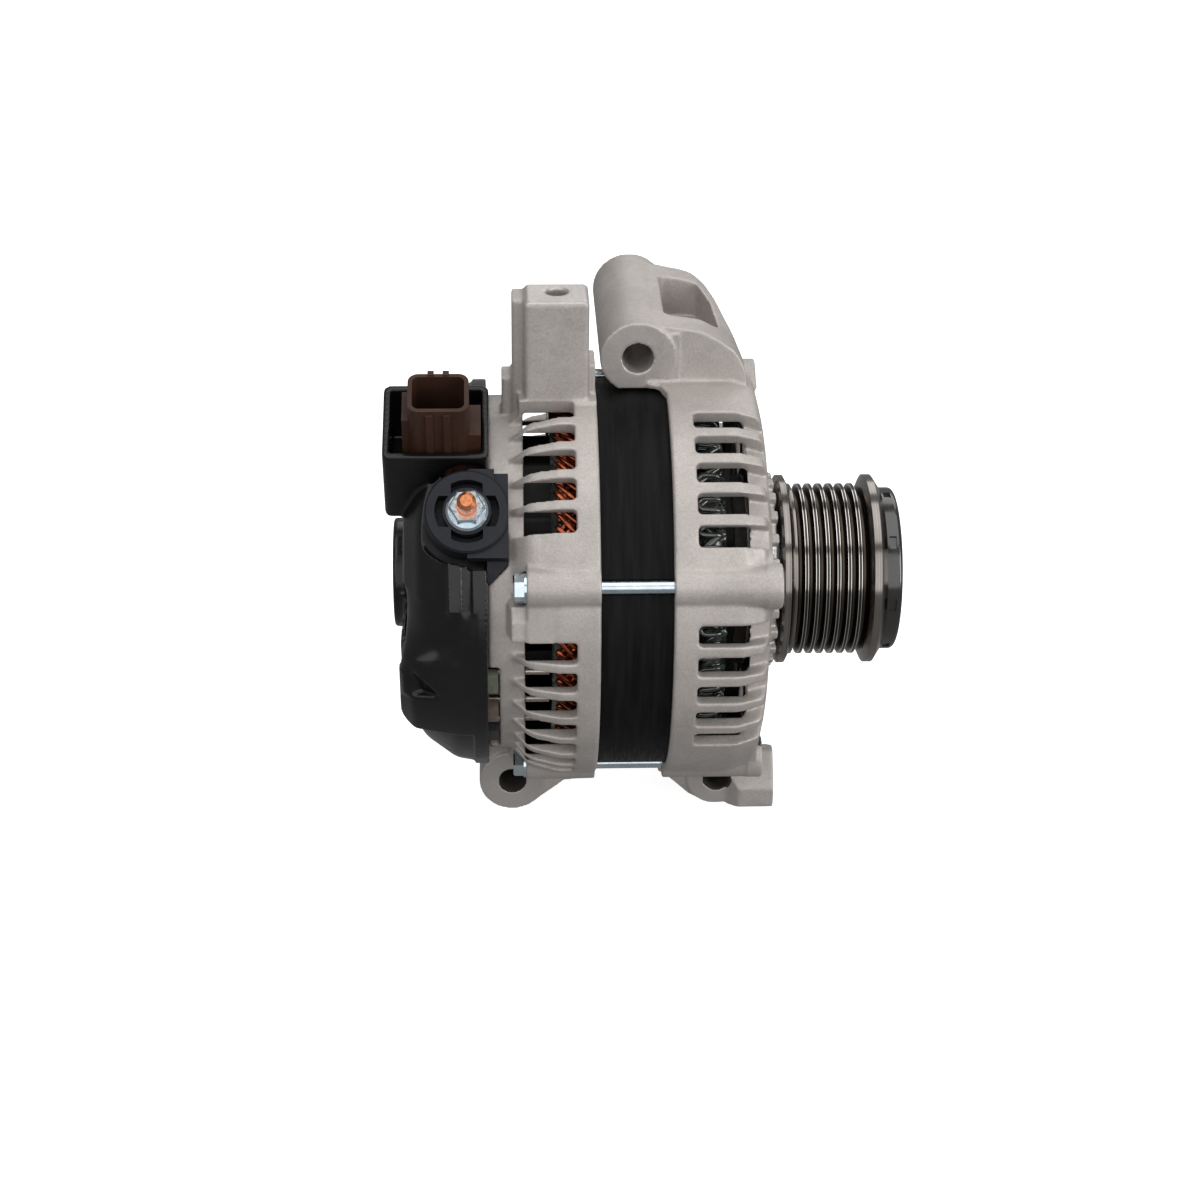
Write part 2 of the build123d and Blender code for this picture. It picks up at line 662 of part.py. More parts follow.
def inner_ring(bearing, x0):
    bore, outer, width = bearing[:3]
    shoulder = bearing_middle(bearing) - bearing[3] * 0.7
    return ring(shoulder, bore, x0, x0 + width) - race_cut(bearing, x0 + width / 2)


def outer_ring(bearing, x0):
    bore, outer, width = bearing[:3]
    shoulder = bearing_middle(bearing) + bearing[3] * 0.7
    return ring(outer, shoulder, x0, x0 + width) - race_cut(bearing, x0 + width / 2)


def bearing_balls(bearing, x0):
    middle, radius, count = x0 + bearing[2] / 2, bearing[3], bearing[4]
    ball = Pos(middle, 0, bearing_middle(bearing)) * Sphere(radius)
    return joined(around(ball, 360.0 * i / count) for i in range(count))


def bearing_cage(bearing, x0):
    middle, radius, count = x0 + bearing[2] / 2, bearing[3], bearing[4]
    pitch = bearing_middle(bearing)
    crown = ring(pitch + 0.9, pitch - 0.9, middle - radius * 0.55, middle + radius * 1.12)
    pocket = Pos(middle, 0, pitch) * Sphere(radius + race_play)
    return crown - [around(pocket, 360.0 * i / count) for i in range(count)]


def bearing_seals(bearing, x0):
    middle, radius = bearing_middle(bearing), bearing[3]
    high = middle + radius * 0.7
    low = middle - radius * 0.7 + fit_gap
    near = ring(high, low, x0 + 0.2, x0 + 0.2 + seal_thickness)
    far = ring(high, low, x0 + bearing[2] - 0.2 - seal_thickness, x0 + bearing[2] - 0.2)
    return joined([near, far])


def bearing_retainer_plate():
    plate = ring(retainer_radius, front_bearing[1] - 5.5, front_bearing_x - retainer_thickness,
                 front_bearing_x)
    hole = rod_x(2.2, front_bearing_x - 5, front_bearing_x + 1, 0, retainer_screw_circle)
    return plate - [around(hole, a) for a in retainer_screw_angles]


def retainer_screws():
    seat = front_bearing_x - retainer_thickness
    shank = rod_x(retainer_screw_radius, seat, front_bearing_x + 8, 0, retainer_screw_circle)
    head = rod_x(2 * retainer_screw_radius, seat - 1.8, seat, 0, retainer_screw_circle)
    return joined(around(shank + head, a) for a in retainer_screw_angles)


# ---------------------------------------------------------------- rotor

def rotor_shaft():
    bearing_front_end = front_bearing_x + front_bearing[2]
    points = [
        (shaft_rear_end, 0.0),
        (shaft_rear_end, 3.6),
        (rear_face - 1.4, 3.6),
        (rear_face - 1.4, rear_bearing[0]),
        (rear_bearing_x + rear_bearing[2], rear_bearing[0]),
        (rear_bearing_x + rear_bearing[2], 9.2),
        (-pole_half_length - 3.0, 9.2),
        (-pole_half_length - 3.0, shaft_core_radius),
        (front_bearing_x - 2.5, shaft_core_radius),
        (front_bearing_x - 2.5, 10.4),
        (front_bearing_x, 10.4),
        (front_bearing_x, front_bearing[0]),
        (bearing_front_end + 12.0, front_bearing[0]),
        (shaft_front_end, front_bearing[0]),
        (shaft_front_end, 0.0),
    ]
    return turned(points)


def pole_core(side):
    """One claw pole half. side is +1 for the drive end, -1 for the slip ring end."""
    outer_end, disc_end = side * pole_half_length, side * (pole_half_length - pole_disc)
    disc = ring(pole_inner + 2.0, shaft_core_radius, *sorted([outer_end, disc_end]))
    hub = ring(core_radius, shaft_core_radius, *sorted([0.0, disc_end]))
    pitch = 360.0 / (2 * pole_pairs)
    base = rotor_radius * sin(radians(pitch * 0.43))
    tip = rotor_radius * sin(radians(pitch * 0.2))
    tip_end = -side * (pole_half_length - 4.0)
    plan = flat([(outer_end, -base), (disc_end, -base), (tip_end, -tip),
                 (tip_end, tip), (disc_end, base), (outer_end, base)])
    blank = prism_z(plan, core_radius, rotor_radius + 5)
    side_view = [(outer_end, core_radius), (disc_end, core_radius), (disc_end, pole_inner - 1.5),
                 (tip_end, rotor_radius - 3.5), (tip_end, rotor_radius), (outer_end, rotor_radius)]
    shell = turned(side_view)
    start = 0.0 if side > 0 else pitch
    claws = [around(blank & shell, start + 2 * pitch * i) for i in range(pole_pairs)]
    return joined([disc, hub] + claws)


def field_bobbin():
    half = pole_half_length - pole_disc
    outer = pole_inner - 2.4
    points = [
        (-half, core_radius),
        (-half, outer),
        (-half + bobbin_wall, outer),
        (-half + bobbin_wall, core_radius + bobbin_wall),
        (half - bobbin_wall, core_radius + bobbin_wall),
        (half - bobbin_wall, outer),
        (half, outer),
        (half, core_radius),
    ]
    return turned(points)


def field_winding():
    half = pole_half_length - pole_disc - bobbin_wall
    return ring(pole_inner - 3.0, core_radius + bobbin_wall, -half, half)


def fan_blade_outline():
    """Outline of one swept blade, seen along the shaft."""
    steps = 6
    edges = []
    for half in (-0.6, 0.6):
        line = []
        for i in range(steps + 1):
            radius = fan_blade_root + (fan_radius - fan_blade_root) * i / steps
            turn = radians(fan_blade_sweep * i / steps)
            line.append((radius * sin(turn) + half * cos(turn), radius * cos(turn) - half * sin(turn)))
        edges.append(line)
    return edges[0] + edges[1][::-1]


def fan(side):
    """Centrifugal fan with swept blades raised from its disc."""
    face = side * pole_half_length
    disc_end = face + side * fan_thickness
    disc = ring(fan_radius - 1.0, shaft_core_radius + 2.0, *sorted([face, disc_end]))
    top = disc_end + side * fan_blade_heights[0 if side > 0 else 1]
    blade = prism_x(flat(fan_blade_outline()), *sorted([face, top]))
    blades = [around(blade, 360.0 * i / fan_blades) for i in range(fan_blades)]
    limit = ring(fan_radius, 5.0, -40.0, 40.0)
    return joined([disc] + blades) & limit


def slip_ring_hub():
    back = min(slip_ring_places) - slip_ring_width / 2 - 1.2
    front = rear_face - 1.6
    hub = ring(slip_hub_radius, 3.6, back, front)
    flanges = [ring(slip_ring_radius - 0.6, 3.6, back, back + 1.2),
               ring(slip_ring_radius - 0.6, 3.6, front - 3.0, front)]
    return joined([hub] + flanges)


def slip_rings():
    half = slip_ring_width / 2
    return joined(ring(slip_ring_radius, slip_hub_radius, x - half, x + half)
                  for x in slip_ring_places)


def field_leads():
    """Two flat conductors laid on the hub between the slip rings and the rotor."""
    inner_edge = max(slip_ring_places) + slip_ring_width / 2
    lead = block(inner_edge, rear_face - 4.6, -0.8, 0.8, slip_hub_radius, slip_hub_radius + 0.7)
    return joined([around(lead, 0), around(lead, 180)])


def front_spacer():
    start = front_bearing_x + front_bearing[2]
    return ring(11.6, front_bearing[0], start, pulley_back + 0.4)


# ---------------------------------------------------------------- pulley and clutch

def groove_middles():
    first = belt_offset - rib_pitch * (groove_count - 1) / 2
    return [first + rib_pitch * i for i in range(groove_count)]


def pulley_shell():
    floor = crest_radius - groove_depth
    points = [(pulley_back, pulley_bore), (pulley_back, flange_radius - 1.2),
              (pulley_back + 0.7, flange_radius), (pulley_back + 2.7, flange_radius),
              (pulley_back + 4.3, crest_radius)]
    for middle in groove_middles():
        points += [(middle - groove_half_mouth, crest_radius), (middle - groove_half_floor, floor),
                   (middle + groove_half_floor, floor), (middle + groove_half_mouth, crest_radius)]
    points += [(pulley_front - 4.9, flange_radius), (pulley_front - 2.5, flange_radius),
               (pulley_front, cap_radius + 0.6), (pulley_front, cap_radius - 1.4),
               (pulley_front - 2.6, cap_radius - 1.4), (pulley_front - 2.6, pulley_bore)]
    return turned(points)


def pulley_hub():
    start = pulley_back + 0.4
    points = [
        (start, front_bearing[0]),
        (start, pulley_bore - fit_gap),
        (start + 5.0, pulley_bore - fit_gap),
        (start + 5.0, clutch_inner),
        (pulley_front - 3.2, clutch_inner),
        (pulley_front - 3.2, front_bearing[0]),
    ]
    return turned(points)


def clutch_cage():
    low, high = roller_reach
    cage = ring(pulley_bore - 0.6, clutch_inner + fit_gap, low - 1.2, high + 1.2)
    middle = (pulley_bore + clutch_inner) / 2
    pocket = rod_x(roller_radius + 0.1, low - 0.1, high + 0.1, 0, middle)
    return cage - [around(pocket, 360.0 * i / roller_count) for i in range(roller_count)]


def clutch_rollers():
    middle = (pulley_bore + clutch_inner) / 2
    roller = rod_x(roller_radius, *roller_reach, 0, middle)
    return joined(around(roller, 360.0 * i / roller_count) for i in range(roller_count))


def pulley_cap():
    points = [
        (pulley_front - 2.6, pulley_bore + 2.0),
        (pulley_front - 2.6, cap_radius - 1.5),
        (pulley_front, cap_radius - 1.5),
        (pulley_front, cap_radius),
        (cap_front, cap_radius),
        (cap_front, 0.0),
        (cap_front - 1.8, 0.0),
        (cap_front - 1.8, pulley_bore + 2.0),
    ]
    cap = turned(points, [0, 0, 0, 0, 1.6, 0, 0, 1.0])
    recess = ring(cap_radius - 5.0, cap_radius - 8.0, cap_front - 0.5, cap_front + 1)
    clip = block(pulley_front + 0.8, pulley_front + 3.2, -2.2, 2.2, cap_radius - 1.0, cap_radius + 1)
    return cap - [recess] - [around(clip, 360.0 * i / cap_clips) for i in range(cap_clips)]


# ---------------------------------------------------------------- rear cover

def cover_drum(inset):
    """Domed drum of the cover, shrunk by a wall thickness for its inside."""
    edge, back = cover_radius - inset, cover_back + inset
    points = [
        (cover_start, 0.0),
        (cover_start, edge),
        (cover_start - cover_rim, edge),
        (cover_start - cover_rim, edge - 1.0),
        (cover_start - 11.0, edge - 2.2),
        (cover_start - 21.5, edge - 9.8),
        (back, edge - 20.6),
        (back, 0.0),
    ]
    return turned(points, [0, 0, 0, 0, 9.0, 12.0, 6.0, 0])


def cover_block(inset):
    """Squarer part of the cover below the output stud."""
    edge, back = cover_radius - inset - 0.4, cover_block_back + inset
    points = [(cover_start, 0.0), (cover_start, edge), (cover_start - 9.6, edge),
              (cover_start - 24.1, edge - 4.4), (back - 2.0, edge - 11.8), (back - 2.0, 0.0)]
    low, high = cover_block_z[0] + inset, cover_block_z[1] - inset
    slab = [(cover_start + 5.0, low), (back, low), (back, high), (cover_start + 5.0, high)]
    slab = prism_y(flat(slab, [0, 6.5 - inset, 0, 0]), -80.0, -1.0)
    return turned(points, [0, 0, 10.0, 5.0, 0, 0]) & slab


def corner_pyramid(apex, corners, growth):
    """Three-sided pyramid from an apex through three corners and on past them."""
    far = [tuple(a + (c - a) * growth for a, c in zip(apex, corner)) for corner in corners]
    faces = [Face(Wire.make_polygon([Vector(*p) for p in far], close=True))]
    for first, second in zip(far, far[1:] + far[:1]):
        side = [Vector(*first), Vector(*second), Vector(*apex)]
        faces.append(Face(Wire.make_polygon(side, close=True)))
    return Solid(Shell(faces))


def cover_scoop():
    """Cutter for the three-cornered hollow in the side of the cover."""
    return corner_pyramid(scoop_apex, scoop_corners, 1.5)


def plug_box(inset, top):
    x0, x1 = plug_box_x
    y0, y1 = plug_box_y
    box = block(x0 + inset, x1 - inset, y0 + inset, y1 - inset, plug_box_low + inset, top)
    return around(fillet(box.edges().filter_by(Axis.Z), max(2.4 - inset, 0.4)), plug_angle)


def rear_cover():
    hub = rod_x(cover_hub_radius, cover_hub_back, cover_back + 1)
    hub = fillet(hub.faces().sort_by(Axis.X)[0].edges(), 1.0)
    x0, x1, low, high = cover_ridge
    ridge = sector(cover_radius - 6.0, cover_radius - 1.0, low, high, x0, x1)
    outer = joined([cover_drum(0.0), cover_block(0.0), plug_box(0.0, plug_box_rim), hub, ridge])
    outer -= at_output(rod_z(insulator_pocket, insulator_seat, 90, output_x, 0))
    outer -= at_output(block(output_x, 0, -insulator_pocket - 1.4, insulator_pocket - 1.0,
                             insulator_seat, 90))
    inner = joined([cover_drum(cover_wall), cover_block(cover_wall),
                    plug_box(cover_wall, plug_foot - 2.0),
                    rod_x(cover_hub_radius - cover_wall, cover_hub_back + cover_wall, cover_back + 4)])
    inner -= at_output(rod_z(insulator_pocket + cover_wall, insulator_seat - cover_wall, 90,
                             output_x, 0))
    inner -= at_output(block(output_x, 0, -insulator_pocket - 3.6, insulator_pocket + 1.2,
                             insulator_seat - cover_wall, 90))
    inner -= Pos(*scoop_backing) * corner_pyramid(scoop_apex, scoop_corners, 2.2)
    inner -= around(block(plug_box_x[0], plug_box_x[1] + 9, plug_box_y[0] - 0.1,
                          plug_box_y[1] + 0.1, plug_foot - 2.0, 90), plug_angle)
    cover = outer - inner - cover_scoop()
    cover -= plug_box(cover_wall, plug_box_rim + 5) & around(
        block(-90, -40, -30, 30, plug_foot, 90), plug_angle)
    cover -= around(block(plug_x[0] - 0.3, plug_x[1] + 0.3, plug_y[0] - 0.3, plug_y[1] + 0.3,
                          plug_foot - 6, plug_foot + 2), plug_angle)
    cover -= at_output(rod_z(output_thread_radius + 2.0, insulator_seat - 6, insulator_seat + 5,
                             output_x, 0))
    cover -= rod_x(rear_hub_radius + 0.4, cover_start, -40.0)
    well = nut_well_radius
    for angle in cover_stud_angles:
        cup = rod_x(well + cover_wall, cover_block_back + 0.5, cover_nut_seat() + cover_wall, 0,
                    cover_stud_circle)
        cover += around(cup, angle) & outer
        cover -= around(rod_x(well, cover_block_back - 1, cover_nut_seat(), 0,
                              cover_stud_circle), angle)
        cover -= around(rod_x(cover_stud_radius + 0.3, cover_nut_seat() - 1, cover_start, 0,
                              cover_stud_circle), angle)
    grille = [sector(23.0 + 7.5 * row, 28.0 + 7.5 * row, a - 6.5, a + 6.5,
                     cover_block_back - 1, cover_back + 3)
              for row in range(3) for a in range(140, 375, 18)]
    return cover - grille


def cover_nut_seat():
    """Face inside the cover's well that a nut bears on."""
    return cover_back + cover_nut_height + 1.0


def cover_studs():
    stud = rod_x(cover_stud_radius, cover_nut_seat() - cover_nut_height - 0.6, rear_face + wall, 0,
                 cover_stud_circle)
    return joined(around(stud, a) for a in cover_stud_angles)


def cover_nuts():
    seat = cover_nut_seat()
    nut = rod_x(cover_nut_across * 0.75, seat - 0.9, seat, 0, cover_stud_circle)
    nut += hexagon_x(cover_nut_across, seat - cover_nut_height, seat, cover_stud_circle)
    nut -= rod_x(cover_stud_radius, seat - 5, seat + 1, 0, cover_stud_circle)
    return joined(around(nut, a) for a in cover_stud_angles)


# ---------------------------------------------------------------- output terminal and plug

def at_output(shape):
    """Carry a shape made at the top of the shaft to the output stud's place."""
    return around(Pos(0, output_shift, 0) * shape, output_angle)


def output_stud():
    """Hex-headed stud: a thread that carries the nut, then a plain end for the cable eye."""
    thread = rod_z(output_thread_radius, output_root, insulator_top + output_nut_height, output_x, 0)
    end = rod_z(output_radius, output_root + 5.0, output_tip, output_x, 0)
    end = chamfer(end.faces().sort_by(Axis.Z)[-1].edges(), output_end_chamfer)
    head = hexagon_z(9.0, output_root - 3.0, output_root, output_x)
    return at_output(thread + end + head)


def output_nut():
    flange = rod_z(output_nut_flange, insulator_top, insulator_top + 1.6, output_x, 0)
    flange = chamfer(flange.faces().sort_by(Axis.Z)[-1].edges(), 0.7)
    nut = hexagon_z(output_nut_across, insulator_top + 1.0, insulator_top + output_nut_height,
                    output_x)
    nut = chamfer(nut.faces().sort_by(Axis.Z)[-1].edges(), 0.5)
    nut = nut + flange
    nut -= rod_z(output_thread_radius, insulator_seat, output_tip, output_x, 0)
    return at_output(nut)


def output_insulator():
    disc = rod_z(insulator_radius, insulator_seat, insulator_top, output_x, 0)
    disc = chamfer(disc.faces().sort_by(Axis.Z)[-1].edges(), 0.6)
    disc -= block(cover_start - 0.2, 0, -30, 30, 0, rear_hub_radius + 0.2)
    tail_end = rear_shoulder_end - 0.6
    disc &= block(-90, tail_end, -30, 30, 0, 90)
    tail = block(output_x, tail_end, -insulator_radius - 1.4, insulator_radius - 0.9,
                 rear_hub_radius + 0.2, insulator_top - 1.6)
    tab = block(output_x + 0.4, output_x + 8.6, 9.0, insulator_radius + 0.4, rear_hub_radius + 0.2,
                insulator_top - 0.6)
    disc += [tail, tab]
    slot = Pos(0, 0, insulator_top - 2.5) * (Cylinder(10.2, 7.0) - Cylinder(7.6, 7.0))
    for turn in (0, 90, 180, 270):
        window = slot & Rot(0, 0, turn) * block(0, 12, -5.0, 5.0, 50, 80)
        disc -= Pos(output_x, 0, 0) * window
    disc -= rod_z(output_thread_radius, output_root, output_tip, output_x, 0)
    skirt = terminal_window(0.15, rear_hub_radius - terminal_recess + 0.2, rear_hub_radius + 0.9)
    skirt -= block(rear_face - 2.0, cover_start + 0.2, -90, 0, 0, 90)
    return at_output(disc) + skirt


def connector_shell():
    x0, x1 = plug_x
    y0, y1 = plug_y
    body = block(x0, x1, y0, y1, regulator_top, plug_mouth)
    body = fillet(body.edges().filter_by(Axis.Z), 3.4)
    well = block(x0 + plug_wall, x1 - plug_wall, y0 + plug_wall, y1 - plug_wall,
                 plug_foot + 12.0, plug_mouth + 1)
    well = fillet(well.edges().filter_by(Axis.Z), 2.2)
    middle = (x0 + x1) / 2
    ribs = [block(middle + x - 1.1, middle + x + 1.1, y0 - 0.9, y0 + 1, plug_foot, plug_mouth - 1.2)
            for x in (-2.8, 2.8)]
    nubs = [block(middle + x - 1.0, middle + x + 1.0, y1 - 1, y1 + 1.0, plug_foot, plug_mouth + 0.4)
            for x in (-2.4, 2.4)]
    ear = block(x0 - 2.0, x0 + 2, y0 + 2.0, y1 - 2.0, plug_foot, plug_mouth - 6.0)
    latch = block(x1 - 1, x1 + plug_latch, y0 + 1.4, y1 - 2.0, plug_foot, plug_mouth - 12.0)
    shell = joined([body, ear, latch] + ribs + nubs) - well
    pin_row = [block(x - 0.6, x + 0.6, (y0 + y1) / 2 - 0.35, (y0 + y1) / 2 + 0.35,
                     plug_foot - 1, plug_mouth) for x in pin_places()]
    return around(shell - pin_row, plug_angle)


def pin_places():
    x0, x1 = plug_x
    pitch = (x1 - x0 - 2 * plug_wall) / plug_pins
    return [x0 + plug_wall + pitch * (i + 0.5) for i in range(plug_pins)]


def connector_pins():
    middle = (plug_y[0] + plug_y[1]) / 2
    pins = [block(x - 0.6, x + 0.6, middle - 0.35, middle + 0.35, plug_foot, plug_mouth - 11.0)
            for x in pin_places()]
    return around(joined(pins), plug_angle)


# ---------------------------------------------------------------- rectifier and regulator

def sink_plate(x0, x1):
    plate = sector(*sink_radii, *sink_sector, x0, x1)
    studs = [around(rod_x(cover_stud_radius + 0.5, x0 - 1, x1 + 1, 0, cover_stud_circle), a)
             for a in cover_stud_angles]
    pocket = rod_z(insulator_pocket + cover_wall + 1.4, insulator_seat - cover_wall - 0.8, 90,
                   output_x, 0)
    head = rod_z(5.7, output_root - 3.2, output_root, output_x, 0)
    seat = block(output_x, rear_face, -insulator_pocket - 3.9, insulator_pocket + 1.5,
                 insulator_seat - cover_wall - 0.3, sink_radii[1] + 9.0)
    return plate - studs - at_output(pocket + head + seat)


def diode_holes(angles, x0, x1):
    return [around(rod_x(diode_radius, x0 - 1, x1 + 1, 0, diode_circle), a) for a in angles]


def negative_heatsink():
    x0, x1 = negative_sink_x
    stud = at_output(rod_z(output_thread_radius + 0.6, output_root - 4, insulator_seat + 5,
                           output_x, 0))
    leads = [around(rod_x(2.0, x0 - 1, x1 + 1, 0, lead_circle), a) for a in lead_angles]
    return sink_plate(x0, x1) - diode_holes(diode_angles, x0, x1) - leads - stud


def positive_heatsink():
    x0, x1 = positive_sink_x
    plate = sink_plate(x0, x1) - diode_holes(diode_angles, x0, x1)
    fins = [around(block(x0 - 5.0, x0, -0.8, 0.8, 34.0, sink_radii[1] - 7.0), a)
            for a in range(128, 386, 6) if not near_any(a, diode_angles, 11)
            and not near_any(a, cover_stud_angles, 13)]
    lug_block = at_output(block(output_x - 6.0, x1, -6.0, 6.0, output_root, insulator_seat - 4.0))
    stud = at_output(rod_z(output_thread_radius, output_root, insulator_seat + 5, output_x, 0))
    return joined([plate, lug_block] + fins) - stud


def near_any(angle, others, margin):
    return any(abs((angle - other + 180) % 360 - 180) < margin for other in others)


def diode(x0, x1, tail):
    """Press-in diode: a metal cup from x0 to x1 with a lead up to tail."""
    cup = rod_x(diode_radius, x0, x1, 0, diode_circle)
    return cup + rod_x(0.7, *sorted([x0, tail]), 0, diode_circle)


def negative_diodes():
    x0, x1 = negative_sink_x
    return joined(around(diode(x0, x1 + 2.5, board_x[0] + 1), a) for a in diode_angles)


def positive_diodes():
    x0, x1 = positive_sink_x
    return joined(around(diode(x0 - 3.0, x1, x0 - 5.0), a) for a in diode_angles)


def rectifier_terminal_board():
    board = sink_plate(*board_x)
    leads = [around(rod_x(0.7, board_x[0] - 1, board_x[1] + 1, 0, diode_circle), a)
             for a in diode_angles]
    lugs = [around(block(board_x[0], board_x[1] + 6.0, -3.6, 3.6, sink_radii[1] + 0.2,
                         rear_hub_radius + 1.0), a) for a in lead_angles]
    stud = at_output(rod_z(output_thread_radius + 0.6, output_root - 4, insulator_seat + 5,
                           output_x, 0))
    return joined([board] + lugs) - leads - stud


def rectifier_screws():
    def screw(angle):
        head = rod_x(3.4, positive_sink_x[0] - 2.4, positive_sink_x[0], 0, 30.0)
        return around(head, angle)
    return joined(screw(a) for a in (160, 240, 320))


def regulator_body():
    length, width, height = regulator_size
    middle = sum(plug_x) / 2
    top = regulator_top
    body = block(middle - length / 2, middle + length / 2, -width / 2 + 1.5, width / 2 + 1.5,
                 top - height, top)
    body = fillet(body.edges().filter_by(Axis.Z), 2.0)
    holes = [rod_z(1.5, top - 6, top + 1, middle + x, width / 2 - 1.4)
             + rod_z(2.2, top - 1.0, top + 1, middle + x, width / 2 - 1.4)
             for x in (-regulator_screw_x, regulator_screw_x)]
    return around(body - holes, plug_angle)


def regulator_heatsink():
    length, width, height = regulator_size
    front = sum(plug_x) / 2 + length / 2
    plate = block(front, front + 1.5, -width / 2 + 1.5, width / 2 + 1.5, regulator_top - height,
                  regulator_top)
    return around(plate, plug_angle)


def regulator_screws():
    width = regulator_size[1]
    middle = sum(plug_x) / 2
    screws = []
    for x in (-regulator_screw_x, regulator_screw_x):
        shank = rod_z(1.5, regulator_top - 6, regulator_top, middle + x, width / 2 - 1.4)
        head = rod_z(2.2, regulator_top - 1.0, regulator_top, middle + x, width / 2 - 1.4)
        screws.append(shank + head)
    return around(joined(screws), plug_angle)


def brush_low():
    return slip_ring_radius + brush_gap


def brush(x):
    length, width, height = brush_size
    body = block(x - length / 2, x + length / 2, -width / 2, width / 2, brush_low(),
                 brush_low() + height)
    return body - rod_x(slip_ring_radius + brush_gap, x - length, x + length)


def brush_spring(x):
    """Coil spring between a brush and the roof of its holder."""
    start = brush_low() + brush_size[2]
    end = brush_box_top - 1.6
    pitch = (end - start - 2 * spring_wire) / spring_turns
    path = Pos(x, 0, start + spring_wire) * Helix(pitch, pitch * spring_turns, spring_radius)
    section = Plane(path @ 0, z_dir=path % 0) * Circle(spring_wire)
    return sweep(section, path)


def brush_holder():
    """Box with one guide for each brush."""
    middle = sum(slip_ring_places) / 2
    low = slip_ring_radius + 1.6
    half = (max(slip_ring_places) - min(slip_ring_places)) / 2 + 4.6
    body = block(middle - half, middle + half, -brush_box_y / 2, brush_box_y / 2, low, brush_box_top)
    length, width, height = brush_size
    for x in slip_ring_places:
        body -= block(x - length / 2 - brush_play, x + length / 2 + brush_play,
                      -width / 2 - brush_play, width / 2 + brush_play, low - 1, brush_box_top - 1.6)
    return body


def brush_cover():
    """Half-round shroud under the slip rings, open towards the brush holder."""
    middle = sum(slip_ring_places) / 2
    shroud = ring(slip_ring_radius + 3.0, slip_ring_radius + 1.6, middle - 10.5, middle + 10.5)
    return shroud - block(middle - 20, middle + 20, -20, 20, 3.0, 20)


# ---------------------------------------------------------------- all pieces

def build():
    os.makedirs("parts", exist_ok=True)
    save("drive_end_bracket", drive_end_bracket())
    save("slip_ring_end_bracket", slip_ring_end_bracket())
    save("stator_core", stator_core())
    save("slot_liners", slot_liners())
    save("stator_winding", stator_winding())
    save("stator_leads", stator_leads())
    save("through_bolts", through_bolts())
    save("front_bearing_outer_ring", outer_ring(front_bearing, front_bearing_x))
    save("front_bearing_inner_ring", inner_ring(front_bearing, front_bearing_x))
    save("front_bearing_balls", bearing_balls(front_bearing, front_bearing_x))
    save("front_bearing_cage", bearing_cage(front_bearing, front_bearing_x))
    save("front_bearing_seals", bearing_seals(front_bearing, front_bearing_x))
    save("rear_bearing_outer_ring", outer_ring(rear_bearing, rear_bearing_x))
    save("rear_bearing_inner_ring", inner_ring(rear_bearing, rear_bearing_x))
    save("rear_bearing_balls", bearing_balls(rear_bearing, rear_bearing_x))
    save("rear_bearing_cage", bearing_cage(rear_bearing, rear_bearing_x))
    save("rear_bearing_seals", bearing_seals(rear_bearing, rear_bearing_x))
    save("bearing_retainer_plate", bearing_retainer_plate())
    save("retainer_screws", retainer_screws())
    save("rotor_shaft", rotor_shaft())
    save("front_pole_core", pole_core(1))
    save("rear_pole_core", pole_core(-1))
    save("field_bobbin", field_bobbin())
    save("field_winding", field_winding())
    save("front_fan", fan(1))
    save("rear_fan", fan(-1))
    save("slip_ring_hub", slip_ring_hub())
    save("slip_rings", slip_rings())
    save("field_leads", field_leads())
    save("front_spacer", front_spacer())
    save("pulley_shell", pulley_shell())
    save("pulley_hub", pulley_hub())
    save("clutch_cage", clutch_cage())
    save("clutch_rollers", clutch_rollers())
    save("pulley_cap", pulley_cap())
    save("rear_cover", rear_cover())
    save("cover_studs", cover_studs())
    save("cover_nuts", cover_nuts())
    save("output_stud", output_stud())
    save("output_nut", output_nut())
    save("output_insulator", output_insulator())
    save("connector_shell", connector_shell())
    save("connector_pins", connector_pins())
    save("negative_heatsink", negative_heatsink())
    save("positive_heatsink", positive_heatsink())
    save("negative_diodes", negative_diodes())
    save("positive_diodes", positive_diodes())
    save("rectifier_terminal_board", rectifier_terminal_board())
    save("rectifier_screws", rectifier_screws())
    save("regulator_body", regulator_body())
    save("regulator_heatsink", regulator_heatsink())
    save("regulator_screws", regulator_screws())
    save("brush_holder", brush_holder())
    save("brush_cover", brush_cover())
    for name, x in zip(("inner_brush", "outer_brush"), slip_ring_places):
        save(name, brush(x))
        save(f"{name}_spring", brush_spring(x))


build()
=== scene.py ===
import bpy
import bmesh
import json
import math
import random
from mathutils import Matrix, Vector


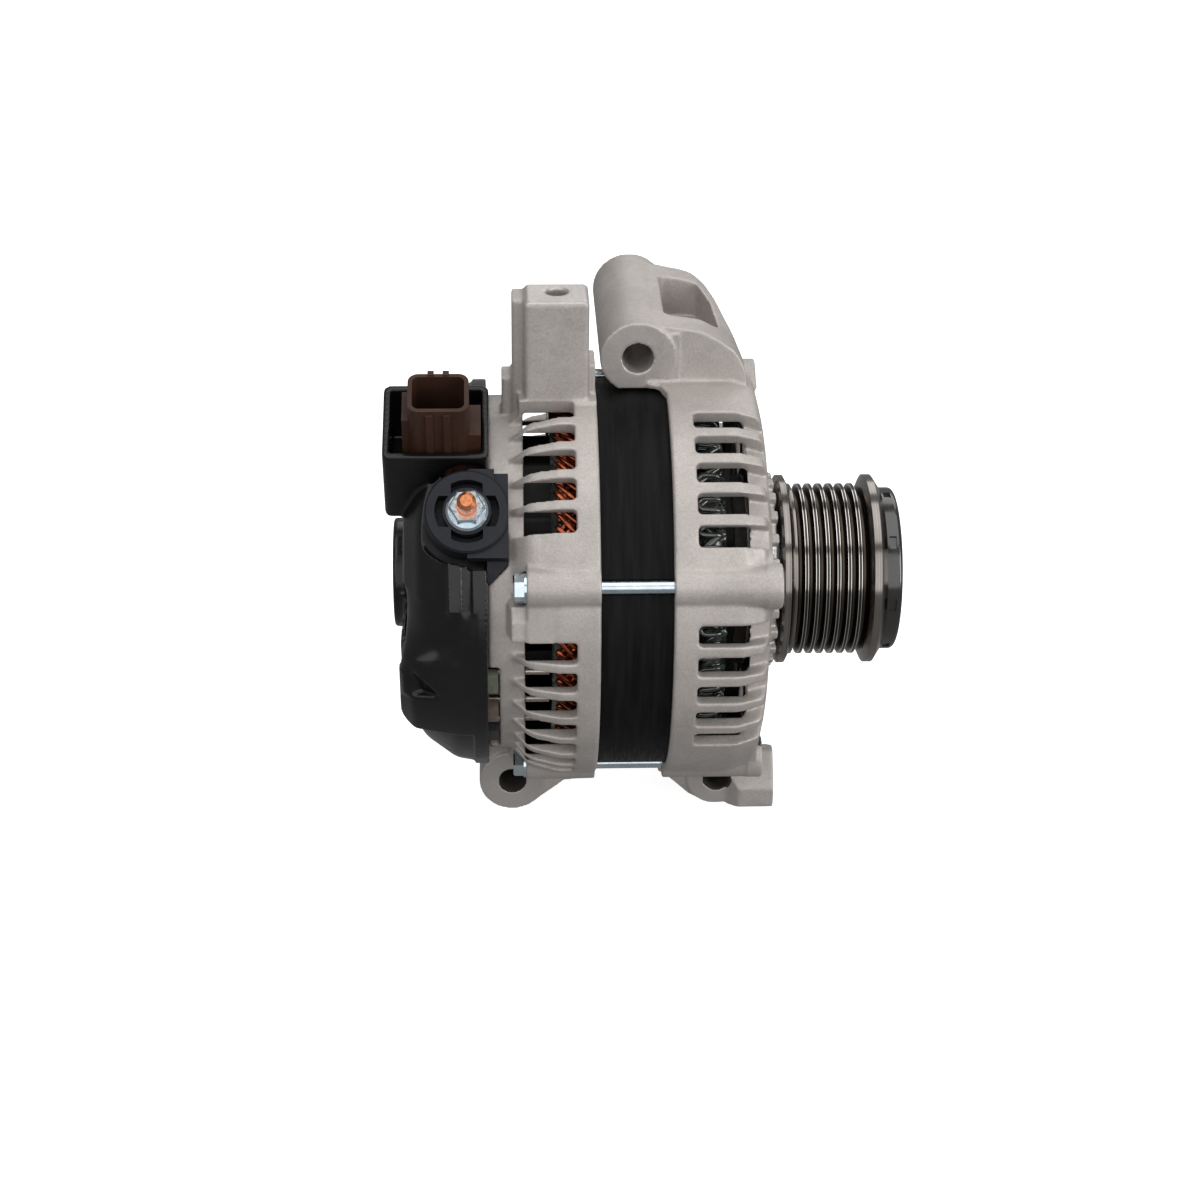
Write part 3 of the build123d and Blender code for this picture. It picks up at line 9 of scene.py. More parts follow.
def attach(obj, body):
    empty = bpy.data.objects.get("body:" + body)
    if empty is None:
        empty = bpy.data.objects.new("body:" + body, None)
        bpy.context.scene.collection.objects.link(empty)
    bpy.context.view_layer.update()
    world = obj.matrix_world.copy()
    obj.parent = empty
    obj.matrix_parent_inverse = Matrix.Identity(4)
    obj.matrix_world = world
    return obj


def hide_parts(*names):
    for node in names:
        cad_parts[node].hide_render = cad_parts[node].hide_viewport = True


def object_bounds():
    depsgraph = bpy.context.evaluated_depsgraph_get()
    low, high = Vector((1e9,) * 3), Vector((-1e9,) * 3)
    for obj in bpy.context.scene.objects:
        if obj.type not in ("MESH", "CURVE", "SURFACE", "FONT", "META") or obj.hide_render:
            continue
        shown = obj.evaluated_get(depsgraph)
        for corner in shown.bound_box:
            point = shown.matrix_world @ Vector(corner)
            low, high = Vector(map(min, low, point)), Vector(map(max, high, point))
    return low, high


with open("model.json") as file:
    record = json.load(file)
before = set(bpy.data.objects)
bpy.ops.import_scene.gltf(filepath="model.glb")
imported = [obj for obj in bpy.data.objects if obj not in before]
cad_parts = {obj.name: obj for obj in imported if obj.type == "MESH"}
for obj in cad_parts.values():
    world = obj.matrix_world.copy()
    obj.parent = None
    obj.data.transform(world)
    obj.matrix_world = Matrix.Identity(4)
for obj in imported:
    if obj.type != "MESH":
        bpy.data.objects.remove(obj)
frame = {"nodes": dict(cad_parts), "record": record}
cad_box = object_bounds()
nodes = frame["nodes"]
MM = 0.001
BELT = 66.9                 # stator middle to belt middle: the origin is at the belt
RIB_PITCH = 3.56
random.seed(7)

# Places on the bracket castings in millimetres, with X counted from the middle of the stator.
BOSS = (2.4, 77.0)          # X and Z of the upper boss's bore
BOSS_BORE_RADIUS = 5.8
BOSS_ENDS = (1.7, 65.6)     # Y past which the boss's faces are its ends
BOSS_FOOT_Z = 63
BOSS_SIDE_X = 20.5
POST = (-24.3, -2.0)        # X and Y of the tapped post
POST_BORE_RADIUS = 4.1
POST_FOOT_Z = 75
POST_TOP_Z = 101.1
DRIVE_LUG_X = 32.1
REAR_LUG_X = -39.5
LUG_Z = -77.7
LUG_FACE_RADIUS = 11.6
LUG_BORE_RADIUS = 5.3
LUG_ENDS = (-9.6, 29.6)     # Y past which a lower lug's faces are its ends
HUB_FACE_X = 44.9
HUB_FACE_RADIUS = 31.2
OUTER_WALL_RADIUS = 65.4
BEARING_WALL_RADIUS = 12
CAVITY_RADIUS = 55
CAVITY_END_X = 38
END_WALL_RADIUS = 61
SQUARE_ON = 0.93            # a normal's part along Y past which a face is square to Y

# The winding, in millimetres. The last two are the numbers of its materials.
STATOR_SLOTS = 48
LAYER_RADII = (53.2, 55.4, 57.6, 59.8)
REAR_STRANDS = 104
BAR_SIDES = 8
RING_STEPS = 96
COPPER = 0
VARNISHED = 1


def at_x(x):
    """Row X in metres of a place counted from the middle of the stator in millimetres."""
    return (x - BELT) * MM


# ------------------------------------------------------------------ camera, floor and light

CAM_ELEVATION = 28.0
CAM_YAW = 2.6
CAM_ROLL = 0.7
CAM_DISTANCE = 850.0
CAM_LENS = 75.0
CAM_TARGET = (-76.2, -4.9, -8.9)


def make_camera():
    e, yaw = math.radians(CAM_ELEVATION), math.radians(CAM_YAW)
    back = Vector((-math.sin(yaw) * math.cos(e), -math.cos(yaw) * math.cos(e), math.sin(e)))
    cam = bpy.data.objects.new("camera", bpy.data.cameras.new("camera"))
    bpy.context.scene.collection.objects.link(cam)
    cam.data.lens = CAM_LENS
    cam.data.sensor_width = 36.0
    cam.data.clip_start = 0.01
    cam.data.clip_end = 20.0
    roll = Matrix.Rotation(math.radians(CAM_ROLL), 3, "Z").to_quaternion()
    cam.rotation_mode = "QUATERNION"
    cam.rotation_quaternion = (-back).to_track_quat("-Z", "Y") @ roll
    cam.location = (Vector(CAM_TARGET) + back * CAM_DISTANCE) * MM
    bpy.context.scene.camera = cam


def area_light(name, place, aim, size, power):
    data = bpy.data.lights.new(name, "AREA")
    data.shape = "RECTANGLE"
    data.size, data.size_y = size
    data.energy = power
    light = bpy.data.objects.new(name, data)
    bpy.context.scene.collection.objects.link(light)
    light.location = place
    light.rotation_euler = (Vector(aim) - Vector(place)).to_track_quat("-Z", "Y").to_euler()


def make_stage():
    scene = bpy.context.scene
    scene.view_settings.view_transform = "Standard"
    world = bpy.data.worlds.new("studio")
    scene.world = world
    world.use_nodes = True
    world.node_tree.nodes["Background"].inputs[0].default_value = (1.0, 1.0, 1.0, 1)
    world.node_tree.nodes["Background"].inputs[1].default_value = 0.24
    middle = (-0.06, 0.0, 0.0)
    area_light("overhead", (-0.05, -0.10, 0.95), middle, (1.4, 1.0), 6.6)
    area_light("front", (-0.10, -1.02, 0.43), middle, (1.3, 0.98), 4.7)
    area_light("front_left", (-0.80, -0.70, 0.55), middle, (0.5, 0.7), 1.5)
    area_light("front_right", (0.80, -0.60, 0.30), middle, (0.5, 0.7), 5.4)
    area_light("behind", (0.15, 0.80, 0.60), middle, (0.9, 0.5), 2.0)
    half, z = 4.0, cad_box[0].z
    mesh = bpy.data.meshes.new("floor")
    mesh.from_pydata([(-half, -half, z), (half, -half, z), (half, half, z), (-half, half, z)],
                     [], [(0, 1, 2, 3)])
    floor = bpy.data.objects.new("floor", mesh)
    scene.collection.objects.link(floor)
    floor.visible_diffuse = False
    floor.visible_glossy = False
    m = Material("studio_floor", (0.70, 0.70, 0.70), roughness=0.9, specular=0.0)
    m.constant("Emission Color", (1, 1, 1, 1))
    m.constant("Emission Strength", 0.86)
    mesh.materials.append(m.done())


# ------------------------------------------------------------------ materials

class Material:
    """A Principled material with a few helpers for procedural detail.

    Coordinates are Object coordinates. Every piece sits at the row frame's origin, so they are
    metres in the row frame.
    """

    def __init__(self, name, colour, metallic=0.0, roughness=0.5, specular=0.5, coat=0.0,
                 coat_roughness=0.1):
        self.mat = bpy.data.materials.new(name)
        self.mat.use_nodes = True
        self.tree = self.mat.node_tree
        self.shader = self.tree.nodes["Principled BSDF"]
        self.colour = colour
        self.constant("Base Color", (*colour, 1))
        self.constant("Metallic", metallic)
        self.constant("Roughness", roughness)
        self.constant("Specular IOR Level", specular)
        if coat:
            self.constant("Coat Weight", coat)
            self.constant("Coat Roughness", coat_roughness)
        self.place = self.node("ShaderNodeTexCoord").outputs["Object"]
        self.split = None
        self.bump_out = None

    def constant(self, socket, value):
        self.shader.inputs[socket].default_value = value

    def node(self, kind, **settings):
        made = self.tree.nodes.new(kind)
        for key, value in settings.items():
            setattr(made, key, value)
        return made

    def link(self, a, b):
        self.tree.links.new(a, b)

    def feed(self, value, socket):
        if isinstance(value, (int, float, tuple)):
            socket.default_value = value
        else:
            self.link(value, socket)

    def axis(self, which):
        if self.split is None:
            self.split = self.node("ShaderNodeSeparateXYZ")
            self.link(self.place, self.split.inputs[0])
        return self.split.outputs[which]

    def math(self, operation, a, b=0.0, c=0.0):
        made = self.node("ShaderNodeMath", operation=operation)
        for value, socket in zip((a, b, c), made.inputs):
            self.feed(value, socket)
        return made.outputs[0]

    def radius(self, a="Y", b="Z", ca=0.0, cb=0.0):
        """Distance from an axis through (ca, cb)."""
        da = self.math("SUBTRACT", self.axis(a), ca)
        db = self.math("SUBTRACT", self.axis(b), cb)
        return self.math("SQRT", self.math("ADD", self.math("MULTIPLY", da, da),
                                           self.math("MULTIPLY", db, db)))

    def stretched(self, scale):
        made = self.node("ShaderNodeVectorMath", operation="MULTIPLY")
        self.link(self.place, made.inputs[0])
        made.inputs[1].default_value = scale
        return made.outputs[0]

    def noise(self, scale, detail=2.0, rough=0.5, stretch=None):
        made = self.node("ShaderNodeTexNoise")
        self.link(self.stretched(stretch) if stretch else self.place, made.inputs["Vector"])
        made.inputs["Scale"].default_value = scale
        made.inputs["Detail"].default_value = detail
        made.inputs["Roughness"].default_value = rough
        return made.outputs["Fac"]

    def turning_lines(self, scale, detail):
        """Noise that only changes along the shaft and outwards, as a turning tool leaves it."""
        place = self.node("ShaderNodeCombineXYZ")
        self.link(self.axis("X"), place.inputs[0])
        self.link(self.radius(), place.inputs[1])
        made = self.node("ShaderNodeTexNoise")
        self.link(place.outputs[0], made.inputs["Vector"])
        made.inputs["Scale"].default_value = scale
        made.inputs["Detail"].default_value = detail
        return made.outputs["Fac"]

    def cells(self, scale):
        made = self.node("ShaderNodeTexVoronoi", feature="F1")
        self.link(self.place, made.inputs["Vector"])
        made.inputs["Scale"].default_value = scale
        return made.outputs["Distance"]

    def ranged(self, value, low, high, to_low=0.0, to_high=1.0):
        made = self.node("ShaderNodeMapRange", interpolation_type="SMOOTHSTEP")
        self.feed(value, made.inputs["Value"])
        made.inputs["From Min"].default_value = low
        made.inputs["From Max"].default_value = high
        made.inputs["To Min"].default_value = to_low
        made.inputs["To Max"].default_value = to_high
        return made.outputs["Result"]

    def mix(self, amount, a, b):
        made = self.node("ShaderNodeMix", data_type="RGBA")
        self.feed(amount, made.inputs["Factor"])
        for value, socket in ((a, made.inputs["A"]), (b, made.inputs["B"])):
            self.feed((*value, 1) if isinstance(value, tuple) else value, socket)
        return made.outputs["Result"]

    def varied(self, colour, amount, factor):
        """A colour, or the material's own if None, made darker or lighter by up to amount."""
        if colour is None:
            return self.mix(factor, tuple(v * (1 - amount) for v in self.colour),
                            tuple(v * (1 + amount) for v in self.colour))
        made = self.node("ShaderNodeMix", data_type="RGBA", blend_type="MULTIPLY")
        made.inputs["Factor"].default_value = 1.0
        self.link(colour, made.inputs["A"])
        grey = self.mix(factor, (1 - amount,) * 3, (1 + amount,) * 3)
        self.link(grey, made.inputs["B"])
        return made.outputs["Result"]

    def pointiness(self, low, high):
        return self.ranged(self.node("ShaderNodeNewGeometry").outputs["Pointiness"], low, high)

    def paint(self, colour):
        self.link(colour, self.shader.inputs["Base Color"])

    def rough(self, value):
        self.link(value, self.shader.inputs["Roughness"])

    def bump(self, height, strength, distance):
        made = self.node("ShaderNodeBump")
        self.link(height, made.inputs["Height"])
        made.inputs["Strength"].default_value = strength
        made.inputs["Distance"].default_value = distance
        if self.bump_out is not None:
            self.link(self.bump_out, made.inputs["Normal"])
        self.bump_out = made.outputs["Normal"]
        self.link(self.bump_out, self.shader.inputs["Normal"])

    def done(self):
        return self.mat


def cast_aluminium():
    m = Material("cast_aluminium", (0.42, 0.388, 0.365), metallic=0.35, roughness=0.5,
                 specular=0.5)
    blotch = m.noise(55.0, 4.0, 0.55)
    colour = m.varied(None, 0.075, m.ranged(blotch, 0.32, 0.68))
    grain = m.noise(1500.0, 3.0, 0.7)
    colour = m.varied(colour, 0.10, m.ranged(grain, 0.3, 0.7))
    sparkle = m.ranged(m.cells(2300.0), 0.16, 0.05)
    colour = m.mix(m.math("MULTIPLY", sparkle, 0.35), colour, (0.66, 0.62, 0.60))
    worn = m.pointiness(0.515, 0.56)
    colour = m.mix(m.math("MULTIPLY", worn, 0.30), colour, (0.61, 0.58, 0.56))
    # painted shade: darker in creases and hollows, where the pointiness is low
    painted_crease_shade = m.pointiness(0.485, 0.44)
    colour = m.mix(m.math("MULTIPLY", painted_crease_shade, 0.35), colour, (0.20, 0.175, 0.16))
    m.paint(colour)
    m.rough(m.ranged(m.noise(380.0, 3.0), 0.3, 0.7, 0.42, 0.60))
    m.bump(grain, 0.30, 0.00022)
    m.bump(m.noise(320.0, 3.0, 0.6), 0.22, 0.0006)
    return m.done()


def painted_shade_casting():
    """Painted shade: a dark colour for the inside of the castings and the bores of the lower lugs,
    where shade falls.
    """
    m = Material("painted_shade_casting", (0.055, 0.050, 0.046), roughness=0.7, specular=0.15)
    m.paint(m.varied(None, 0.25, m.ranged(m.noise(120.0, 4.0, 0.6), 0.3, 0.7)))
    m.bump(m.noise(600.0, 3.0), 0.25, 0.0004)
    return m.done()


def machined_aluminium(name, a, b, ca, cb, pitch=0.35):
    """Faced aluminium with turning rings about an axis through (ca, cb)."""
    m = Material(name, (0.47, 0.44, 0.42), metallic=0.55, roughness=0.36, specular=0.5)
    colour = m.varied(None, 0.05, m.ranged(m.noise(90.0, 3.0), 0.3, 0.7))
    colour = m.varied(colour, 0.06, m.ranged(m.noise(1700.0, 2.0), 0.3, 0.7))
    rings = m.math("SINE", m.math("MULTIPLY", m.radius(a, b, ca, cb), 2000 * math.pi / pitch))
    colour = m.varied(colour, 0.05, m.ranged(rings, -1, 1))
    m.paint(colour)
    m.rough(m.ranged(m.noise(700.0, 2.0), 0.3, 0.7, 0.30, 0.44))
    m.bump(rings, 0.10, 0.0001)
    m.bump(m.noise(1500.0, 2.0), 0.12, 0.0001)
    return m.done()


def black_lacquer():
    m = Material("black_lacquered_steel", (0.0075, 0.0075, 0.0075), roughness=0.50, specular=0.06)
    m.paint(m.varied(None, 0.30, m.ranged(m.noise(40.0, 3.0, 0.5, (14.0, 1.0, 1.0)), 0.3, 0.7)))
    m.rough(m.ranged(m.noise(120.0, 4.0, 0.6, (10.0, 1.0, 1.0)), 0.3, 0.7, 0.38, 0.54))
    plates = m.math("SINE", m.math("MULTIPLY", m.axis("X"), 2000 * math.pi / 0.5))
    m.bump(plates, 0.16, 0.00005)
    m.bump(m.noise(900.0, 3.0), 0.10, 0.0002)
    return m.done()


def zinc_plate():
    m = Material("zinc_plated_steel", (0.62, 0.71, 0.77), metallic=1.0, roughness=0.22)
    tint = m.varied(None, 0.08, m.ranged(m.noise(260.0, 4.0, 0.6), 0.3, 0.7))
    m.paint(m.mix(m.ranged(m.noise(130.0, 2.0), 0.55, 0.80), tint, (0.70, 0.72, 0.66)))
    m.rough(m.ranged(m.noise(900.0, 3.0), 0.3, 0.7, 0.14, 0.28))
    m.bump(m.noise(1200.0, 2.0), 0.06, 0.0001)
    return m.done()


def plastic(name, colour, roughness, specular=0.4, grain=0.12):
    m = Material(name, colour, roughness=roughness, specular=specular)
    tone = m.varied(None, 0.14, m.ranged(m.noise(70.0, 3.0), 0.3, 0.7))
    m.paint(m.varied(tone, 0.098, m.ranged(m.noise(1440.0, 2.0), 0.3, 0.7)))
    m.rough(m.ranged(m.noise(180.0, 3.0), 0.3, 0.7, roughness - 0.05, roughness + 0.07))
    m.bump(m.noise(900.0, 3.0, 0.6), grain, 0.0002)
    m.bump(m.noise(60.0, 2.0), 0.05, 0.001)
    return m.done()


def metal(name, colour, roughness, vary=0.12):
    m = Material(name, colour, metallic=1.0, roughness=roughness)
    tone = m.varied(None, vary, m.ranged(m.noise(120.0, 3.0), 0.3, 0.7))
    m.paint(m.varied(tone, vary * 0.6, m.ranged(m.noise(1200.0, 2.0), 0.3, 0.7)))
    m.rough(m.ranged(m.noise(400.0, 3.0), 0.3, 0.7, roughness - 0.07, roughness + 0.08))
    m.bump(m.noise(1200.0, 2.0), 0.1, 0.0001)
    return m.done()


def turned_metal(name, colour, roughness):
    """Metal turned about the shaft: fine rings on its faces and round its rims."""
    m = Material(name, colour, metallic=1.0, roughness=roughness)
    lines = m.turning_lines(4000.0, 2.0)
    tone = m.varied(None, 0.10, m.ranged(lines, 0.3, 0.7))
    m.paint(m.varied(tone, 0.10, m.ranged(m.noise(80.0, 3.0), 0.3, 0.7)))
    m.rough(m.ranged(lines, 0.3, 0.7, roughness - 0.08, roughness + 0.10))
    m.bump(lines, 0.25, 0.00008)
    return m.done()


def pulley_steel():
    """Dark turned steel: bronze brown grooves, and a painted highlight, a bright line, down each
    side of a crest.
    """
    m = Material("pulley_steel", (0.12, 0.11, 0.10), metallic=1.0, roughness=0.34)
    lines = m.turning_lines(4200.0, 3.0)
    crest = m.ranged(m.radius(), 0.0272, 0.0288)
    turn = m.math("FRACT", m.math("MULTIPLY_ADD", m.axis("X"), 1.0 / (RIB_PITCH * MM), 10.5))
    from_groove = m.math("MULTIPLY", m.math("ABSOLUTE", m.math("SUBTRACT", turn, 0.5)), RIB_PITCH)
    edge = m.ranged(m.math("ABSOLUTE", m.math("SUBTRACT", from_groove, 1.20)), 0.24, 0.12)
    ribbed = m.ranged(m.math("ABSOLUTE", m.axis("X")), 0.0114, 0.0110)
    deep = m.mix(m.ranged(lines, 0.3, 0.7), (0.050, 0.040, 0.032), (0.085, 0.068, 0.054))
    high = m.mix(m.ranged(lines, 0.3, 0.7), (0.034, 0.031, 0.028), (0.060, 0.055, 0.051))
    rim = m.mix(m.ranged(lines, 0.3, 0.7), (0.19, 0.175, 0.16), (0.31, 0.285, 0.265))
    tone = m.mix(crest, deep, m.mix(ribbed, rim, high))
    # painted highlight: a near-white line down each side of a crest, where the crest edges catch
    # the light
    bright = m.math("MULTIPLY", m.math("MULTIPLY", edge, ribbed), crest)
    tone = m.mix(bright, tone, (0.80, 0.77, 0.74))
    m.paint(m.varied(tone, 0.12, m.ranged(m.noise(70.0, 3.0), 0.3, 0.7)))
    m.rough(m.ranged(crest, 0.0, 1.0, 0.34, 0.17))
    m.bump(lines, 0.25, 0.00008)
    return m.done()


def output_copper():
    m = Material("output_copper", (0.72, 0.27, 0.12), metallic=1.0, roughness=0.32)
    tone = m.varied(None, 0.12, m.ranged(m.noise(350.0, 4.0, 0.6), 0.3, 0.7))
    m.paint(m.mix(m.ranged(m.noise(900.0, 3.0), 0.60, 0.80), tone,
                  tuple(v * 0.70 for v in m.colour)))
    m.rough(m.ranged(m.noise(1300.0, 3.0), 0.3, 0.7, 0.24, 0.42))
    m.bump(m.noise(1800.0, 2.0), 0.12, 0.0001)
    return m.done()


def copper_wire():
    """Enamelled wire: bright copper where it catches light, darker amber varnish between."""
    m = Material("copper_wire", (0.42, 0.10, 0.035), metallic=0.9, roughness=0.2, coat=0.4,
                 coat_roughness=0.10)
    tone = m.mix(m.ranged(m.noise(300.0, 3.0), 0.3, 0.7), (0.10, 0.017, 0.005),
                 (0.48, 0.105, 0.034))
    m.paint(m.varied(tone, 0.2, m.ranged(m.noise(1500.0, 2.0), 0.3, 0.7)))
    m.bump(m.noise(700.0, 2.0), 0.2, 0.0002)
    return m.done()


def varnished_wire():
    """The drive end coil heads, soaked in grey green varnish."""
    m = Material("varnished_wire", (0.018, 0.024, 0.019), metallic=0.1, roughness=0.22,
                 specular=0.7, coat=1.0, coat_roughness=0.08)
    m.paint(m.mix(m.ranged(m.noise(220.0, 4.0, 0.6), 0.35, 0.65), (0.010, 0.014, 0.011),
                  (0.036, 0.044, 0.036)))
    m.rough(m.ranged(m.noise(600.0, 3.0), 0.3, 0.7, 0.14, 0.34))
    m.bump(m.noise(420.0, 3.0), 0.35, 0.0004)
    return m.done()


def terminal_board():
    """The board's three lugs differ: one green, one pink brown, one dark."""
    m = Material("board_plastic", (0.12, 0.13, 0.10), roughness=0.5, specular=0.35)
    z = m.axis("Z")
    first = m.mix(m.ranged(z, -0.0165, -0.0155), (0.155, 0.115, 0.095), (0.13, 0.145, 0.105))
    second = m.mix(m.ranged(z, -0.0300, -0.0290), (0.035, 0.035, 0.037), first)
    m.paint(m.varied(second, 0.18, m.ranged(m.noise(400.0, 3.0), 0.3, 0.7)))
    m.bump(m.noise(900.0, 3.0), 0.15, 0.0002)
    return m.done()


def paper():
    m = Material("insulation_paper", (0.62, 0.56, 0.44), roughness=0.75, specular=0.2)
    m.paint(m.varied(None, 0.15, m.ranged(m.noise(500.0, 4.0, 0.6, (1.0, 6.0, 6.0)), 0.3, 0.7)))
    m.bump(m.noise(1500.0, 3.0), 0.2, 0.0001)
    return m.done()


SLOT_MATERIALS = {
    "cast_aluminium": cast_aluminium(),
    "black_lacquered_steel": black_lacquer(),
    "enamelled_copper": copper_wire(),
    "insulation_paper": paper(),
    "tinned_copper": metal("tinned_copper", (0.55, 0.50, 0.44), 0.35),
    "zinc_plated_steel": zinc_plate(),
    "bearing_steel": metal("bearing_steel", (0.68, 0.69, 0.71), 0.14, 0.05),
    "seal_rubber": plastic("seal_rubber", (0.014, 0.014, 0.015), 0.55, 0.3),
    "cage_polymer": plastic("cage_polymer", (0.42, 0.36, 0.24), 0.5),
    "pressed_steel": metal("pressed_steel", (0.40, 0.41, 0.42), 0.38),
    "fan_steel": plastic("fan_steel", (0.010, 0.011, 0.010), 0.5, 0.3),
    "machined_steel": turned_metal("machined_steel", (0.50, 0.50, 0.51), 0.27),
    "pole_steel": plastic("pole_steel", (0.020, 0.019, 0.018), 0.42, 0.45),
    "bobbin_plastic": plastic("bobbin_plastic", (0.03, 0.03, 0.03), 0.5),
    "slip_ring_copper": turned_metal("slip_ring_copper", (0.72, 0.36, 0.20), 0.22),
    "pulley_steel": pulley_steel(),
    "cap_plastic": plastic("cap_plastic", (0.012, 0.010, 0.009), 0.15, 1.0, 0.03),
    "cover_plastic": plastic("cover_plastic", (0.0050, 0.0050, 0.0054), 0.24, 0.40, 0.05),
    "output_copper": output_copper(),
    "insulator_plastic": plastic("insulator_plastic", (0.0085, 0.0095, 0.0140), 0.50, 0.30, 0.14),
    "connector_plastic": plastic("connector_plastic", (0.044, 0.020, 0.013), 0.42, 0.22, 0.10),
    "tinned_pins": metal("tinned_pins", (0.62, 0.62, 0.60), 0.25),
    "sink_aluminium": metal("sink_aluminium", (0.50, 0.50, 0.50), 0.42),
    "diode_metal": metal("diode_metal", (0.50, 0.45, 0.38), 0.32),
    "board_plastic": terminal_board(),
    "regulator_plastic": plastic("regulator_plastic", (0.045, 0.030, 0.026), 0.45),
    "brush_carbon": plastic("brush_carbon", (0.03, 0.03, 0.032), 0.55),
    "spring_steel": metal("spring_steel", (0.55, 0.55, 0.55), 0.25),
}
# painted shade for the inside of the castings and the lug bores
PAINTED_SHADE = painted_shade_casting()


def dress_cad_nodes():
    for part in frame["record"]["subparts"]:
        node = nodes[part["node"]]
        node.data.materials.clear()
        node.data.materials.append(SLOT_MATERIALS[part["material_slot"]])


def bevel_cad_nodes():
    """Small rounded edges on the moulded and forged pieces, so that they catch the light."""
    widths = {"connector_shell": 0.35, "output_insulator": 0.35, "pulley_cap": 0.25,
              "pulley_shell": 0.30, "through_bolts": 0.25, "cover_nuts": 0.2, "output_nut": 0.25}
    for name, width in widths.items():
        bevel = nodes[name].modifiers.new("edges", "BEVEL")
        bevel.width = width * MM
        bevel.segments = 2
        bevel.limit_method = "ANGLE"
        bevel.angle_limit = math.radians(40.0)
        bevel.harden_normals = True


# ------------------------------------------------------------------ shapes

def new_object(name, mesh, body, replaced):
    piece = bpy.data.objects.new(name, mesh)
    bpy.context.scene.collection.objects.link(piece)
    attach(piece, body)
    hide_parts(*replaced)


def softened(node, voxel, rounds, keep):
    """Mesh of a CAD node with the rounded edges and fillets of a casting or a moulding.

    voxel is in millimetres, and keep is the share of the faces that stays.
    """
    work = bpy.data.objects.new("work", nodes[node].data.copy())
    bpy.context.scene.collection.objects.link(work)
    remesh = work.modifiers.new("remesh", "REMESH")
    remesh.mode = "VOXEL"
    remesh.voxel_size = voxel * MM
    smooth = work.modifiers.new("smooth", "SMOOTH")
    smooth.factor = 0.5
    smooth.iterations = rounds
    if keep < 1.0:
        less = work.modifiers.new("less", "DECIMATE")
        less.ratio = keep
    graph = bpy.context.evaluated_depsgraph_get()
    mesh = bpy.data.meshes.new_from_object(work.evaluated_get(graph))
    mesh.name = node + "_soft"
    bpy.data.objects.remove(work)
    mesh.materials.clear()
    for polygon in mesh.polygons:
        polygon.use_smooth = True
    return mesh


def dress_faces(mesh, plain, tested):
    """Gives each face the material of the first test that takes its middle and its normal."""
    mesh.materials.append(plain)
    for material, _ in tested:
        mesh.materials.append(material)
    for polygon in mesh.polygons:
        c, n = polygon.center / MM, polygon.normal
        polygon.material_index = 0
        for index, (_, test) in enumerate(tested, 1):
            if test(c.x + BELT, c.y, c.z, n):
                polygon.material_index = index
                break


def inside(x, y, z, n):
    """Faces on the inside of a bracket, turned towards the shaft or the stator, which take the
    painted shade.
    """
    radius = math.hypot(y, z)
    if radius > OUTER_WALL_RADIUS or radius < BEARING_WALL_RADIUS:
        return False
    if radius < CAVITY_RADIUS and abs(x) < CAVITY_END_X:
        return True
    to_shaft = (n.y * y + n.z * z) / radius < -0.55
    to_stator = n.x * x < -0.7 * abs(x) and radius < END_WALL_RADIUS
    return to_shaft or to_stator


def near_axis(a, b, ca, cb, radius):
    return (a - ca) ** 2 + (b - cb) ** 2 < radius ** 2


def lug_tests(lug_x):
    """Tests for a lower lug's end faces, and for the faces that take the painted shade: its bore
    with the inside of its bracket.
    """
    def faced(x, y, z, n):
        end = abs(n.y) > SQUARE_ON and (y < LUG_ENDS[0] or y > LUG_ENDS[1])
        return end and near_axis(x, z, lug_x, LUG_Z, LUG_FACE_RADIUS)

    # painted shade: the lug's bore and the inside of the bracket are painted dark for the shade
    # that falls there
    def dark(x, y, z, n):
        return inside(x, y, z, n) or near_axis(x, z, lug_x, LUG_Z, LUG_BORE_RADIUS)

    return faced, dark


def drive_bracket():
    mesh = softened("drive_end_bracket", 0.5, 6, 0.45)
    boss = machined_aluminium("faced_boss", "X", "Z", at_x(BOSS[0]), BOSS[1] * MM)
    lug = machined_aluminium("faced_drive_lug", "X", "Z", at_x(DRIVE_LUG_X), LUG_Z * MM)
    hub = machined_aluminium("faced_hub", "Y", "Z", 0.0, 0.0)

    def on_boss(x, y, z, n):
        end = abs(n.y) > SQUARE_ON and (y < BOSS_ENDS[0] or y > BOSS_ENDS[1])
        bore = near_axis(x, z, *BOSS, BOSS_BORE_RADIUS) and -1 < y < 67
        return (end and z > BOSS_FOOT_Z and x < BOSS_SIDE_X) or bore

    def on_hub(x, y, z, n):
        return x > HUB_FACE_X and near_axis(y, z, 0.0, 0.0, HUB_FACE_RADIUS)

    on_lug, dark = lug_tests(DRIVE_LUG_X)
    # the inside of the bracket and the drive lug's bore take the painted shade
    dress_faces(mesh, SLOT_MATERIALS["cast_aluminium"],
                ((boss, on_boss), (lug, on_lug), (hub, on_hub), (PAINTED_SHADE, dark)))
    new_object("drive_bracket_casting", mesh, "housing", ["drive_end_bracket"])


def rear_bracket():
    mesh = softened("slip_ring_end_bracket", 0.5, 6, 0.45)
    lug = machined_aluminium("faced_rear_lug", "X", "Z", at_x(REAR_LUG_X), LUG_Z * MM)
    post = machined_aluminium("faced_post", "X", "Y", at_x(POST[0]), POST[1] * MM, 0.5)

    def on_post(x, y, z, n):
        bore = near_axis(x, y, *POST, POST_BORE_RADIUS) and z > POST_FOOT_Z
        return z > POST_TOP_Z or bore

    on_lug, dark = lug_tests(REAR_LUG_X)
    # the inside of the bracket and the rear lug's bore take the painted shade
    dress_faces(mesh, SLOT_MATERIALS["cast_aluminium"],
                ((lug, on_lug), (post, on_post), (PAINTED_SHADE, dark)))
    new_object("rear_bracket_casting", mesh, "housing", ["slip_ring_end_bracket"])


